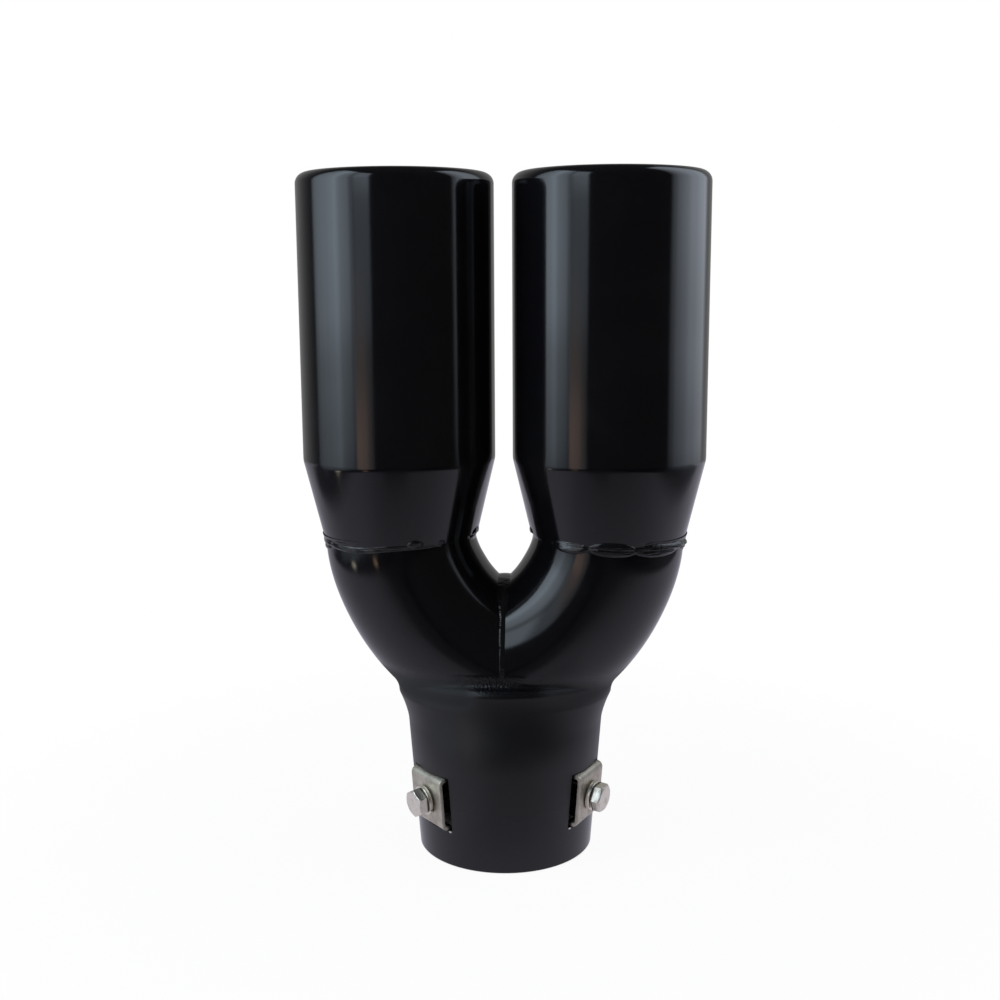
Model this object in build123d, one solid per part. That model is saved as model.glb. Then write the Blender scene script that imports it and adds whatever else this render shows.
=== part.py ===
"""Twin-outlet exhaust tip, standing on its inlet.

Millimetres and degrees. +Z is up, the origin is the middle of the inlet mouth, the two
outlets lie along X, and -Y is the front that carries two of the three clips.
"""

import math
import os

from build123d import *

# Sheet
wall = 1.2

# Collar
mouth_od = 70.7
collar_taper = 0.0769
shoulder_height = 70.6
shoulder_radius = 3.0
neck_height = 6.0
flare_height = 11.6
flare_out = 2.9
flare_curve = 1.6
squeeze_height = 30.6
neck_squeeze = 6.0
lid_slope_angle = 10.0
lid_half_depth = 27.0
collar_weld_size = 1.6
loft_step_count = 3

# Elbows
elbow_od = 59.8
elbow_bend_radius = 64.0
elbow_sink = 6.3
elbow_tail = 12.6
elbow_start_angle = 6.4
elbow_lead_angle = 8.0
elbow_end_angle = 84.0

# Outlet sleeves
outlet_od = 76.0
outlet_gap = 7.0
cone_rise = 31.1
barrel_rise = 109.9
sleeve_bend_radius = 9.0
foot_step = 0.65
lip_roll_radius = 4.2
lip_tail = 2.5

# Weld between sleeve and elbow
weld_tilt_angle = 3.5
weld_width = 5.2
weld_proud = 1.5
weld_trim = 6.0

# Weld between the elbows
seam_half_width = 1.3
seam_rise = 2.63
crotch_half_width = 2.4
crotch_fill_depth = 5.47

# Clamp clips
clip_height = 26.0
clip_turn_angle = 6.0
front_clip_angle = 114.0
clip_width = 20.0
clip_tall = 21.5
clip_sheet = 1.5
clip_bend_radius = 1.7
clip_proud = 1.6
clip_lip = 4.0
clip_lip_clearance = 0.1
window_side_gap = 1.5
window_end_gap = 0.5
boss_radius = 4.3
boss_depth = 2.6

# M6 bolts and their split washers
bolt_radius = 3.0
bolt_length = 20.0
bolt_tip_chamfer = 0.8
head_across_flats = 10.0
head_height = 4.0
head_chamfer_angle = 30.0
head_crown_ratio = 0.95
thread_clearance = 0.05
washer_clearance = 0.1
washer_od = 11.8
washer_thickness = 1.6
washer_rise = 1.2
washer_ground_off = 0.15
washer_gap_angle = 12.0
bolt_turn_angles = {"front_left": 30.0, "front_right": 0.0, "rear": 0.0}
washer_turn_angles = {"front_left": -35.0, "front_right": 0.0, "rear": 0.0}

# What follows from the values above
outlet_radius = outlet_od / 2
outlet_x = (outlet_od + outlet_gap) / 2
elbow_radius = elbow_od / 2
mouth_radius = mouth_od / 2
flare_top = shoulder_height - neck_height
flare_start = flare_top - flare_height
squeeze_start = shoulder_height - squeeze_height
weld_height = shoulder_height + elbow_bend_radius - elbow_sink
sleeve_bend_height = weld_height + cone_rise
overall_height = sleeve_bend_height + barrel_rise
foot_low_end = weld_height - weld_trim
start_rad = math.radians(elbow_start_angle)
bend_x = outlet_x - elbow_bend_radius * math.cos(start_rad)
bend_z = weld_height + elbow_bend_radius * math.sin(start_rad)
mitre_height = bend_z - math.sqrt(elbow_bend_radius**2 - bend_x**2)
crotch_height = bend_z - math.sqrt((elbow_bend_radius - elbow_radius) ** 2 - bend_x**2)
taper_rad = math.atan(collar_taper)
washer_height = washer_thickness + washer_rise - 2 * washer_ground_off
clip_bearings = {
    "front_left": -90.0 + clip_turn_angle - front_clip_angle / 2,
    "front_right": -90.0 + clip_turn_angle + front_clip_angle / 2,
    "rear": 90.0 + clip_turn_angle,
}


def collar_radius(height):
    """Outer radius of the collar's cone at a height."""
    return mouth_radius + collar_taper * height


def weld_plane(side):
    """Plane of the joint between sleeve and elbow, facing up. side is 1 or -1."""
    lean = math.radians(weld_tilt_angle)
    return Plane(
        origin=(side * outlet_x, 0, weld_height),
        x_dir=(math.cos(lean), 0, -side * math.sin(lean)),
        z_dir=(side * math.sin(lean), 0, math.cos(lean)),
    )


def sleeve_profile(inset):
    """A sleeve's wall drawn in by inset: its radius, the height of its bend, and its radius at the foot."""
    lean = math.atan((outlet_radius - elbow_radius - foot_step) / cone_rise)
    radius = outlet_radius - inset
    bend = sleeve_bend_height + inset * math.tan(lean / 2)
    foot = radius - (bend - foot_low_end) * math.tan(lean)
    return radius, bend, foot


def outlet_sleeve(side):
    """Straight sleeve with a rolled-in lip and a tapered foot, cut at the weld."""
    roll = overall_height - lip_roll_radius
    tip = outlet_radius - 2 * lip_roll_radius
    radius, bend, foot = sleeve_profile(0)
    inner_radius, inner_bend, inner_foot = sleeve_profile(wall)
    outline = Curve() + [
        FilletPolyline((foot, foot_low_end), (radius, bend), (radius, roll), radius=sleeve_bend_radius),
        CenterArc((radius - lip_roll_radius, roll), lip_roll_radius, 0, 180),
        Polyline((tip, roll), (tip, roll - lip_tail), (tip + wall, roll - lip_tail), (tip + wall, roll)),
        CenterArc((radius - lip_roll_radius, roll), lip_roll_radius - wall, 0, 180),
        FilletPolyline(
            (inner_radius, roll),
            (inner_radius, inner_bend),
            (inner_foot, foot_low_end),
            radius=sleeve_bend_radius - wall,
        ),
        Line((inner_foot, foot_low_end), (foot, foot_low_end)),
    ]
    sleeve = revolve(Plane.XZ * make_face(outline), Axis.Z)
    sleeve = Pos(side * outlet_x, 0, 0) * sleeve
    return split(sleeve, bisect_by=weld_plane(side), keep=Keep.TOP)


def sleeve_foot_core(side):
    """Filled foot of a sleeve, used to trim the weld."""
    radius, bend, foot = sleeve_profile(0)
    core = Pos(0, 0, (foot_low_end + bend) / 2) * Cone(foot, radius, bend - foot_low_end)
    core = Pos(side * outlet_x, 0, 0) * core
    return split(core, bisect_by=weld_plane(side), keep=Keep.TOP)


def bend_solid(radius, side):
    """Round bar along an elbow's curve, from above the weld to past the middle plane."""
    disc = Rot(0, -elbow_lead_angle, 0) * (Pos(elbow_bend_radius, 0, 0) * Circle(radius))
    bar = Pos(bend_x, 0, bend_z) * revolve(disc, Axis.Y, elbow_lead_angle + elbow_end_angle)
    if side < 0:
        bar = mirror(bar, Plane.YZ)
    return bar


def elbow_core(radius, side):
    """The bar of bend_solid cut at the weld and at the plane where the elbows meet."""
    bar = split(bend_solid(radius, side), bisect_by=weld_plane(side), keep=Keep.BOTTOM)
    keep = Keep.TOP if side > 0 else Keep.BOTTOM
    return split(bar, bisect_by=Plane.YZ, keep=keep)


def elbow(side):
    """Bent tube, mitred against its twin, with an open end inside the collar."""
    tube = elbow_core(elbow_radius, side) - bend_solid(elbow_radius - wall, side)
    return split(tube, bisect_by=Plane.XY.offset(shoulder_height - elbow_tail), keep=Keep.TOP)


def outlet_weld(side):
    """Bead around the joint of sleeve and elbow."""
    bow = (weld_width**2 / 4 + weld_proud**2) / (2 * weld_proud)
    ring = weld_plane(side) * Torus(elbow_radius + weld_proud - bow, bow)
    return ring - sleeve_foot_core(side) - elbow_core(elbow_radius, side)


def valley_fill(half_width, low_end):
    """Right half of the metal lying flat across the valley between the elbows, running on into the elbow."""
    bar = bend_solid(elbow_radius, 1)
    slice_face = section(bar, section_by=Plane.YZ.offset(half_width))
    to_middle = extrude(slice_face, amount=half_width, dir=(-1, 0, 0))
    into_elbow = extrude(slice_face, amount=wall, dir=(1, 0, 0))
    return split(to_middle + into_elbow, bisect_by=Plane.XY.offset(low_end), keep=Keep.TOP)


def seam_weld():
    """Narrow weld along the elbows' mitre, wider where it fills the crotch."""
    seam = valley_fill(seam_half_width, mitre_height + seam_rise)
    crotch = valley_fill(crotch_half_width, crotch_height - crotch_fill_depth)
    half = seam + crotch - bend_solid(elbow_radius, 1)
    return half + mirror(half, Plane.YZ)


def collar_section(height, inset, drop):
    """Oval outline of the collar at a height, pulled in by inset and by the shoulder's drop."""
    flared = max(0.0, min(height, flare_top) - flare_start) / flare_height
    squeezed = max(0.0, min(height, shoulder_height) - squeeze_start) / squeeze_height
    radius = collar_radius(height) - inset - drop
    width = radius + flare_out * flared**flare_curve
    depth = radius - neck_squeeze * squeezed**2 * (3 - 2 * squeezed)
    return Pos(0, 0, height) * Ellipse(width, depth)


def collar_body(inset, low_end):
    """Filled shape of the collar, drawn in by inset: cone, flare, neck, rounded shoulder and lid."""
    low = collar_radius(low_end) - inset
    high = collar_radius(squeeze_start) - inset
    cone = Pos(0, 0, (low_end + squeeze_start) / 2) * Cone(low, high, squeeze_start - low_end)
    flare_sections = []
    for step in range(2 * loft_step_count + 1):
        height = squeeze_start + (flare_top - squeeze_start) * step / (2 * loft_step_count)
        flare_sections.append(collar_section(height, inset, 0))
    neck_sections = [flare_sections[-1], collar_section(shoulder_height, inset, 0)]
    radius = shoulder_radius - inset
    turn = math.radians(90 - lid_slope_angle)
    shoulder_sections = [neck_sections[-1]]
    for step in range(1, loft_step_count + 1):
        angle = turn * step / loft_step_count
        height = shoulder_height + radius * math.sin(angle)
        shoulder_sections.append(collar_section(height, inset, radius * (1 - math.cos(angle))))
    lid_drop = collar_radius(shoulder_height) - lid_half_depth
    lid_run = lid_drop - radius * (1 - math.cos(turn))
    lid_height = height + lid_run * math.tan(math.radians(lid_slope_angle))
    lid_sections = [shoulder_sections[-1], collar_section(lid_height, inset, lid_drop)]
    neck = loft(neck_sections, ruled=True)
    lid = loft(lid_sections, ruled=True)
    return cone + loft(flare_sections) + neck + loft(shoulder_sections) + lid


def collar():
    """Tapered inlet cup with a shoulder closed around the elbows and three clip windows."""
    shell = collar_body(0, 0) - collar_body(wall, -wall)
    for side in (1, -1):
        shell = shell - elbow_core(elbow_radius, side)
    for bearing in clip_bearings.values():
        shell = shell - clip_plane(bearing) * window_cutter()
    return shell


def collar_weld():
    """Bead in the corner between the collar's lid and the elbows."""
    low_end = squeeze_start - flare_height
    outside = collar_body(-collar_weld_size, low_end)
    bead = None
    for side in (1, -1):
        strip = elbow_core(elbow_radius + collar_weld_size, side) & outside
        bead = strip if bead is None else bead + strip
    bead = bead - collar_body(0, low_end - collar_weld_size)
    for side in (1, -1):
        bead = bead - elbow_core(elbow_radius, side)
    return bead


def clip_plane(bearing):
    """Frame on the collar's wall: X along the rim, Y up the wall, Z outward."""
    turn = math.radians(bearing)
    radius = collar_radius(clip_height)
    level = math.cos(taper_rad)
    return Plane(
        origin=(radius * math.cos(turn), radius * math.sin(turn), clip_height),
        x_dir=(-math.sin(turn), math.cos(turn), 0),
        z_dir=(level * math.cos(turn), level * math.sin(turn), -math.sin(taper_rad)),
    )


def window_cutter():
    """Block that cuts one clip window through the collar's wall."""
    return Box(clip_width + 2 * window_side_gap, clip_tall + 2 * window_end_gap, clip_width)


def clip():
    """Folded sheet clip: flat web, two legs through the window, two lips behind the wall."""
    inner_wall = collar_radius(clip_height) - wall
    sag = inner_wall - math.sqrt(inner_wall**2 - clip_width**2 / 4)
    lip_face = -wall - sag - clip_lip_clearance
    leg = clip_tall / 2 - clip_sheet / 2
    web = clip_proud - clip_sheet / 2
    lip = lip_face - clip_sheet / 2
    path = FilletPolyline(
        (leg + clip_lip, lip),
        (leg, lip),
        (leg, web),
        (-leg, web),
        (-leg, lip),
        (-leg - clip_lip, lip),
        radius=clip_bend_radius,
    )
    folded = Plane.YZ * trace(path, clip_sheet)
    sheet = extrude(folded, amount=clip_width / 2, both=True)
    boss_top = clip_proud - clip_sheet / 2
    boss_long = boss_depth + clip_sheet / 2
    boss = Pos(0, 0, boss_top - boss_long / 2) * Cylinder(boss_radius, boss_long)
    hole = Cylinder(bolt_radius + thread_clearance, 2 * bolt_length)
    return sheet + boss - hole


def bolt():
    """Hexagon-head bolt standing on its washer."""
    seat = clip_proud + washer_height
    hexagon = RegularPolygon(head_across_flats / 2, 6, major_radius=False)
    head = Pos(0, 0, seat) * extrude(hexagon, head_height)
    corner = head_across_flats / math.sqrt(3)
    flat = head_across_flats / 2 * head_crown_ratio
    drop = (corner - flat) * math.tan(math.radians(head_chamfer_angle))
    crown = Pos(0, 0, seat + head_height - drop / 2) * Cone(corner, flat, drop)
    stem = Pos(0, 0, seat + (head_height - drop) / 2) * Cylinder(head_across_flats, head_height - drop)
    head = head & (crown + stem)
    shank = Pos(0, 0, seat - bolt_length / 2) * Cylinder(bolt_radius, bolt_length)
    shank = chamfer(shank.edges().sort_by(Axis.Z)[0], bolt_tip_chamfer)
    return head + shank


def lock_washer():
    """Split spring washer, wound left-handed, with its two ends ground flat."""
    inner = bolt_radius + washer_clearance
    middle = (washer_od / 2 + inner) / 2
    turn = 1 - washer_gap_angle / 360
    coil = Helix(pitch=washer_rise / turn, height=washer_rise, radius=middle, lefthand=True)
    section_plane = Plane(origin=coil @ 0, x_dir=(1, 0, 0), z_dir=coil % 0)
    strip = section_plane * Rectangle(washer_od / 2 - inner, washer_thickness)
    ring = sweep(strip, path=coil, is_frenet=True)
    ring = Pos(0, 0, clip_proud + washer_thickness / 2 - washer_ground_off) * ring
    slab = Pos(0, 0, clip_proud + washer_height / 2) * Cylinder(washer_od, washer_height)
    return ring & slab


def export(shape, name):
    export_step(shape, f"parts/{name}.step")


def main():
    os.makedirs("parts", exist_ok=True)
    export(collar(), "inlet_collar")
    export(collar_weld(), "collar_weld")
    export(seam_weld(), "crotch_weld")
    for side, name in ((-1, "left"), (1, "right")):
        export(elbow(side), f"{name}_elbow")
        export(outlet_sleeve(side), f"{name}_outlet")
        export(outlet_weld(side), f"{name}_outlet_weld")
    for name, bearing in clip_bearings.items():
        place = clip_plane(bearing)
        export(place * clip(), f"{name}_clip")
        export(place * Rot(0, 0, bolt_turn_angles[name]) * bolt(), f"{name}_bolt")
        export(place * Rot(0, 0, washer_turn_angles[name]) * lock_washer(), f"{name}_lock_washer")


main()
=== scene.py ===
"""Looks of a twin-outlet exhaust tip, laid out as a Blender add-on and run as a script.

Lengths are in metres, in the frame of the packed part: +Z is up, the two outlets lie along X, and -Y is
the front. Each operator builds one piece, or one group of like pieces, in place of the CAD nodes it names.
"""

import math

import bmesh
import bpy
import numpy as np
from bpy.props import FloatProperty, FloatVectorProperty, IntProperty, PointerProperty
from mathutils import Matrix, Vector


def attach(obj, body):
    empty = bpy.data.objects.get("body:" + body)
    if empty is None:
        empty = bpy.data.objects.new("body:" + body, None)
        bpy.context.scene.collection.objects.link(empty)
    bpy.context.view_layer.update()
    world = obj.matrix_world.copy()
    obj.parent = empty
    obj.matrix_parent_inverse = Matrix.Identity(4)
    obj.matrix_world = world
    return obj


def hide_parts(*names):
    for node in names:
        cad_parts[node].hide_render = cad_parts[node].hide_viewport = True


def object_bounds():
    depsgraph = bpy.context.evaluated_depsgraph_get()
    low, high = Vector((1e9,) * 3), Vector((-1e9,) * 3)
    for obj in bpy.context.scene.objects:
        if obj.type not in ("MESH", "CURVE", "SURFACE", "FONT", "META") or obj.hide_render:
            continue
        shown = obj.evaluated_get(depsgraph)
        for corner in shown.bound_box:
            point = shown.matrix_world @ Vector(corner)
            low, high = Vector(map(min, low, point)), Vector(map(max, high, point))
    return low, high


bl_info = {
    "name": "Twin exhaust tip",
    "version": (1, 0, 0),
    "blender": (4, 5, 0),
    "location": "3D View > Sidebar > Exhaust tip",
    "description": "Builds the painted tubes, welds, clips and clamp bolts of a twin-outlet exhaust tip",
    "category": "Object",
}

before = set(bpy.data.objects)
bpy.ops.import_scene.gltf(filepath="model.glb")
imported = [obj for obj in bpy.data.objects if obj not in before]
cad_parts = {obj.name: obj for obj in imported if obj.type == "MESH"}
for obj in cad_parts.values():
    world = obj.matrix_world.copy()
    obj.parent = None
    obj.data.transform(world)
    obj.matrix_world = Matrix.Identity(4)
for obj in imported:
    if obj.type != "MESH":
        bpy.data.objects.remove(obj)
cad_low, cad_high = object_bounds()

main_body = "tip_body"
sides = {"left": -1, "right": 1}
black, white = (0.0, 0.0, 0.0, 1.0), (1.0, 1.0, 1.0, 1.0)

# Turn of each bolt's head and of each washer's split about the bolt, in degrees
head_turns = {"front_left": 30.0, "front_right": 0.0, "rear": 0.0}
washer_turns = {"front_left": -35.0, "front_right": 0.0, "rear": 0.0}

# Puddles on the front of the outlet welds: bearing from the front in degrees, then half length, shift up,
# half width and height in millimetres, and how steeply the puddle's face looks up
front_puddles = {
    "left": (
        (-72.0, 7.0, -0.9, 1.4, 0.9, 0.25),
        (-60.0, 4.0, 1.0, 1.2, 0.8, 0.3),
        (-44.0, 8.0, 0.2, 1.1, 0.5, 0.2),
        (-16.0, 3.5, -0.1, 0.9, 0.6, 0.1),
        (17.0, 3.0, 1.0, 1.8, 1.2, 0.0),
        (37.0, 2.0, 0.2, 1.8, 0.7, 0.0),
        (79.0, 5.0, 0.9, 2.3, 1.5, 0.0),
    ),
    "right": (
        (-79.0, 3.0, 1.0, 1.8, 1.3, 0.0),
        (-32.0, 8.4, 0.0, 2.9, 1.2, 0.36),
        (1.0, 9.6, -0.3, 3.0, 1.25, 0.12),
        (38.0, 12.0, -0.2, 2.6, 1.0, 0.12),
        (60.0, 6.0, 1.0, 1.5, 1.2, 0.35),
        (74.0, 4.0, 0.4, 1.7, 1.3, 0.2),
    ),
}

# Painted warm glints: spots far to the left where the table glows brighter than white, which show only where
# they are mirrored: place, then colour
table_glints = {
    (-0.378, -0.111): (3.4, 3.15, 2.5, 1.0),
    (-0.29, -0.375): (3.2, 2.1, 1.35, 1.0),
}

# Colours of worn spots and dirt, and of painted shade in crevices and inside the pipe, as red, green, blue
# and alpha
wear_and_shade = {
    "smear": (0.006, 0.006, 0.0067, 1.0),
    "dust": (0.05, 0.05, 0.052, 1.0),
    "dry_spray": (0.014, 0.014, 0.015, 1.0),
    "chip": (0.85, 0.83, 0.78, 1.0),
    "weld_hollow": (0.006, 0.0058, 0.0058, 1.0),
    "clip_patch": (0.52, 0.485, 0.41, 1.0),
    "clip_stain": (0.36, 0.325, 0.25, 1.0),
    "clip_speck": (0.16, 0.15, 0.13, 1.0),
    # Painted shade on the clips' sheet inside the pipe
    "clip_shade_inside": (0.012, 0.012, 0.012, 1.0),
    "bolt_stain": (0.60, 0.555, 0.46, 1.0),
    # Painted shade in the crevices of the bolts and washers
    "bolt_crevice_shade": (0.07, 0.06, 0.05, 1.0),
    "bolt_soot": (0.03, 0.03, 0.03, 1.0),
    "table_grain": (0.77, 0.77, 0.77, 1.0),
}

# Keeps a division by a length away from zero
tiny = 1e-9


# Properties

def length(name, description, default):
    """A length in metres that a user may change."""
    return FloatProperty(name=name, description=description, default=default, unit="LENGTH", precision=5)


def angle(name, description, degrees):
    """An angle, given in degrees, that a user may change."""
    return FloatProperty(name=name, description=description, default=math.radians(degrees), subtype="ANGLE")


def number(name, description, default):
    """A plain number that a user may change."""
    return FloatProperty(name=name, description=description, default=default, precision=4)


def colour(name, description, default):
    """A colour that a user may change."""
    return FloatVectorProperty(
        name=name, description=description, default=default, subtype="COLOR", min=0.0, max=1.0
    )


class CollarSizes(bpy.types.PropertyGroup):
    """Sizes of the tapered cup that goes over the tailpipe."""

    wall: length("Wall", "Thickness of all the sheet metal", 0.0012)
    mouth_radius: length("Mouth radius", "Outer radius at the rim it stands on", 0.03535)
    taper: number("Taper", "Growth of the radius with height", 0.0769)
    shoulder_height: length("Shoulder height", "Height where the wall turns in", 0.0706)
    shoulder_radius: length("Shoulder radius", "Radius of the turn", 0.003)
    neck: length("Neck", "Height of the wall between flare and shoulder", 0.006)
    flare_height: length("Flare height", "Height of the sideways flare below the neck", 0.0116)
    flare_out: length("Flare", "How far the flare goes out sideways", 0.0029)
    flare_curve: number("Flare curve", "Power of the flare's curve", 1.6)
    squeeze_height: length("Squeeze height", "Height below the shoulder where the neck turns oval", 0.0306)
    squeeze: length("Squeeze", "How much shallower the neck is at the shoulder", 0.006)
    lid_slope: angle("Lid slope", "Slope of the top that closes onto the elbows", 10.0)
    lid_half_depth: length("Lid half depth", "Half depth of the lid's inner end", 0.027)
    rim_round: length("Rim round", "Rounding of the rim's edges", 0.00025)


class ElbowSizes(bpy.types.PropertyGroup):
    """Sizes of the two bent tubes."""

    radius: length("Radius", "Outer radius of the tube", 0.0299)
    bend_radius: length("Bend radius", "Radius of the bend's middle line", 0.064)
    start_angle: angle("Start angle", "Turn of the bend at the outlet weld", 6.4)
    end_height: length("End height", "Height of the open lower end inside the collar", 0.058)
    tail: length("Tail", "Length below the weld over which the bend starts gently", 0.024)
    tail_slope: number("Tail slope", "How much straighter the tube leaves the weld", 0.09)


class OutletSizes(bpy.types.PropertyGroup):
    """Sizes of the two outlet sleeves."""

    radius: length("Radius", "Outer radius of the sleeve", 0.038)
    offset: length("Offset", "Distance of a sleeve's axis from the middle", 0.0415)
    bend_height: length("Bend height", "Height where the foot starts to taper", 0.1594)
    bend_radius: length("Bend radius", "Rounding of that bend", 0.009)
    foot_step: length("Foot step", "How much wider the foot is than the elbow", 0.00065)
    lip_radius: length("Lip radius", "Radius of the rolled-in lip", 0.0042)
    lip_tail: length("Lip tail", "Straight end of the lip, inside", 0.0025)


class WeldSizes(bpy.types.PropertyGroup):
    """Sizes of the weld beads."""

    height: length("Height", "Height of the outlet welds", 0.1283)
    tilt: angle("Tilt", "Tilt of the outlet welds", 3.5)
    half_width: length("Half width", "Half width of an outlet weld", 0.0034)
    proud: length("Proud", "Height of the highest drop of an outlet weld", 0.0012)
    drop_count: IntProperty(name="Drops", description="Puddles on the back of one outlet weld", default=7)
    seam_half_width: length("Seam half width", "Half width of the weld between the elbows", 0.0013)
    crotch_half_width: length("Crotch half width", "Half width of that weld in the crotch", 0.0024)
    crotch_low: length("Crotch low end", "Height where the wide part ends", 0.104)
    seam_low: length("Seam low end", "Height where the narrow part ends", 0.078)
    fillet: length("Fillet", "Leg of the weld between collar and elbows", 0.0025)


class ClipSizes(bpy.types.PropertyGroup):
    """Sizes and places of the folded clips."""

    height: length("Height", "Height of the clips on the collar", 0.026)
    turn: angle("Turn", "Turn of the whole set around the collar", 6.0)
    spread: angle("Spread", "Angle between the two front clips", 114.0)
    width: length("Width", "Width along the rim", 0.020)
    tall: length("Height over the legs", "Distance over the two legs", 0.0215)
    sheet: length("Sheet", "Thickness of the sheet", 0.0015)
    bend_radius: length("Bend radius", "Radius of the folds at mid-sheet", 0.0017)
    proud: length("Proud", "How far the web stands out of the collar", 0.0016)
    lip: length("Lip", "Length of the lips behind the wall", 0.004)
    lip_clearance: length("Lip clearance", "Room between lip and wall", 0.0001)
    edge_round: length("Edge round", "Rounding of the cut edges", 0.00022)
    boss_radius: length("Boss radius", "Radius of the tapped boss behind the web", 0.0043)
    boss_depth: length("Boss depth", "Depth of the boss", 0.0026)
    side_gap: length("Side gap", "Gap between clip and window at the sides", 0.0015)
    end_gap: length("End gap", "Gap between clip and window at the ends", 0.0005)


class BoltSizes(bpy.types.PropertyGroup):
    """Sizes of the clamp bolts and split washers."""

    radius: length("Radius", "Outer radius of the thread", 0.003)
    bolt_length: length("Length", "Length under the head", 0.020)
    flats: length("Across flats", "Distance over two flats of the head", 0.010)
    head_height: length("Head height", "Height of the head", 0.004)
    crown: number("Crown", "Share of the flats that stays flat on top", 0.95)
    chamfer: angle("Chamfer", "Slope of the crown's chamfer", 30.0)
    tip: length("Tip chamfer", "Chamfer at the thread's end", 0.0008)
    pitch: length("Pitch", "Pitch of the thread", 0.001)
    thread_depth: length("Thread depth", "Depth of the thread", 0.00055)
    clearance: length("Hole clearance", "Room between thread and tapped hole", 0.00005)
    washer_clearance: length("Washer clearance", "Room between thread and washer", 0.0001)
    washer_radius: length("Washer radius", "Outer radius of the washer", 0.0059)
    washer_thickness: length("Washer thickness", "Thickness of the washer's wire", 0.0016)
    washer_rise: length("Washer rise", "Rise of the split", 0.0012)
    ground: length("Ground off", "Ground off each end of the washer", 0.00015)
    gap: angle("Washer gap", "Width of the split", 12.0)


class Finishes(bpy.types.PropertyGroup):
    """Colours of the surfaces."""

    paint: colour("Paint", "Gloss black coat of the tubes", (0.004, 0.0038, 0.0048))
    paint_gloss: number("Paint roughness", "Roughness of clean paint", 0.1)
    clip: colour("Clip steel", "Satin stainless sheet of the clips", (0.70, 0.655, 0.56))
    bolt: colour("Bolt steel", "Bright stainless of the bolts and washers", (0.90, 0.85, 0.745))


class StageSettings(bpy.types.PropertyGroup):
    """Floor and camera."""

    floor_radius: length("Floor radius", "Radius of the pale table", 0.9)
    floor: colour("Floor", "Colour of the table", (0.8, 0.8, 0.8))
    focal: number("Focal length", "Lens in millimetres on a 36 mm sensor", 46.05)
    eye: FloatVectorProperty(
        name="Camera place",
        description="Where the camera stands",
        default=(0.02065, -0.50242, 0.23076),
        subtype="TRANSLATION",
    )
    heading: angle("Heading", "Turn of the camera to the left of +Y", 2.544)
    pitch: angle("Pitch", "How far the camera looks down", 9.99)
    roll: angle("Roll", "Clockwise roll of the camera", 0.29)


# Mesh helpers

def ease(value):
    """Smooth step from 0 to 1."""
    t = np.clip(value, 0.0, 1.0)
    return t * t * (3.0 - 2.0 * t)


def grid_faces(rows, cols, close_rows, close_cols, left_out=None):
    """Quads over a grid of points, row by row, but for the cells for which left_out(row, column) is true."""
    faces = []
    for i in range(rows if close_rows else rows - 1):
        for j in range(cols if close_cols else cols - 1):
            if left_out is not None and left_out(i, j):
                continue
            below, beside = (i + 1) % rows, (j + 1) % cols
            faces.append((i * cols + j, i * cols + beside, below * cols + beside, below * cols + j))
    return faces


def end_caps(rows, cols):
    """Faces that close the first and the last row of a grid of points."""
    last = (rows - 1) * cols
    return [tuple(range(cols)), tuple(range(last, last + cols))]


def add_piece(name, points, faces, finish, body, node, local=None, crease=35.0):
    """Makes a smooth-shaded mesh in the part's frame that rides on a body and stands for a CAD node."""
    mesh = bpy.data.meshes.new(name)
    mesh.from_pydata(np.asarray(points, float).reshape(-1, 3).tolist(), [], faces)
    if local is not None:
        places = mesh.attributes.new("local", "FLOAT_VECTOR", "POINT")
        places.data.foreach_set("vector", np.asarray(local, np.float32).ravel())
    work = bmesh.new()
    work.from_mesh(mesh)
    bmesh.ops.recalc_face_normals(work, faces=work.faces)
    for face in work.faces:
        face.smooth = True
    work.to_mesh(mesh)
    work.free()
    mesh.set_sharp_from_angle(angle=math.radians(crease))
    mesh.materials.append(finish)
    piece = bpy.data.objects.new(name, mesh)
    bpy.context.scene.collection.objects.link(piece)
    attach(piece, body)
    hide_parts(node)
    return piece


def arc(centre, radius, start, end, count):
    """Points of an arc, both ends included, with angles in radians."""
    turn = np.linspace(start, end, count)
    return [(centre[0] + radius * math.cos(a), centre[1] + radius * math.sin(a)) for a in turn]


def rounded_corners(half_width, half_height, edge):
    """The four corner arcs of a rounded rectangle, clockwise from the upper right."""
    x, y = half_width - edge, half_height - edge
    corners = ((x, y, 0.5), (x, -y, 0.0), (-x, -y, -0.5), (-x, y, 1.0))
    return [arc((cx, cy), edge, turn * math.pi, (turn - 0.5) * math.pi, 4) for cx, cy, turn in corners]


# Shapes shared by several pieces

def collar_radius(collar, height):
    """Outer radius of the collar's cone at a height."""
    return collar.mouth_radius + collar.taper * height


def flare_top(collar):
    """Height where the collar's flare ends and its neck begins."""
    return collar.shoulder_height - collar.neck


def bend_centre(scene):
    """X and Z of the centre of the right elbow's bend."""
    elbow = scene.tip_elbow
    x = scene.tip_outlet.offset - elbow.bend_radius * math.cos(elbow.start_angle)
    z = scene.tip_weld.height + elbow.bend_radius * math.sin(elbow.start_angle)
    return x, z


def elbow_gap(scene, points):
    """Distance of points from the nearer elbow's outer wall, negative inside it."""
    bend_x, bend_z = bend_centre(scene)
    from_axis = np.hypot(np.abs(points[..., 0]) - bend_x, points[..., 2] - bend_z)
    from_middle = np.hypot(from_axis - scene.tip_elbow.bend_radius, points[..., 1])
    return from_middle - scene.tip_elbow.radius


def foot_lean(scene):
    """Angle of a sleeve's tapered foot from upright."""
    outlet = scene.tip_outlet
    run = outlet.radius - scene.tip_elbow.radius - outlet.foot_step
    return math.atan(run / (outlet.bend_height - scene.tip_weld.height))


def clip_bearings(clip):
    """Bearing of each clip around the collar, from +X towards +Y."""
    front = clip.turn - math.pi / 2
    return {
        "front_left": front - clip.spread / 2,
        "front_right": front + clip.spread / 2,
        "rear": clip.turn + math.pi / 2,
    }


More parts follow.
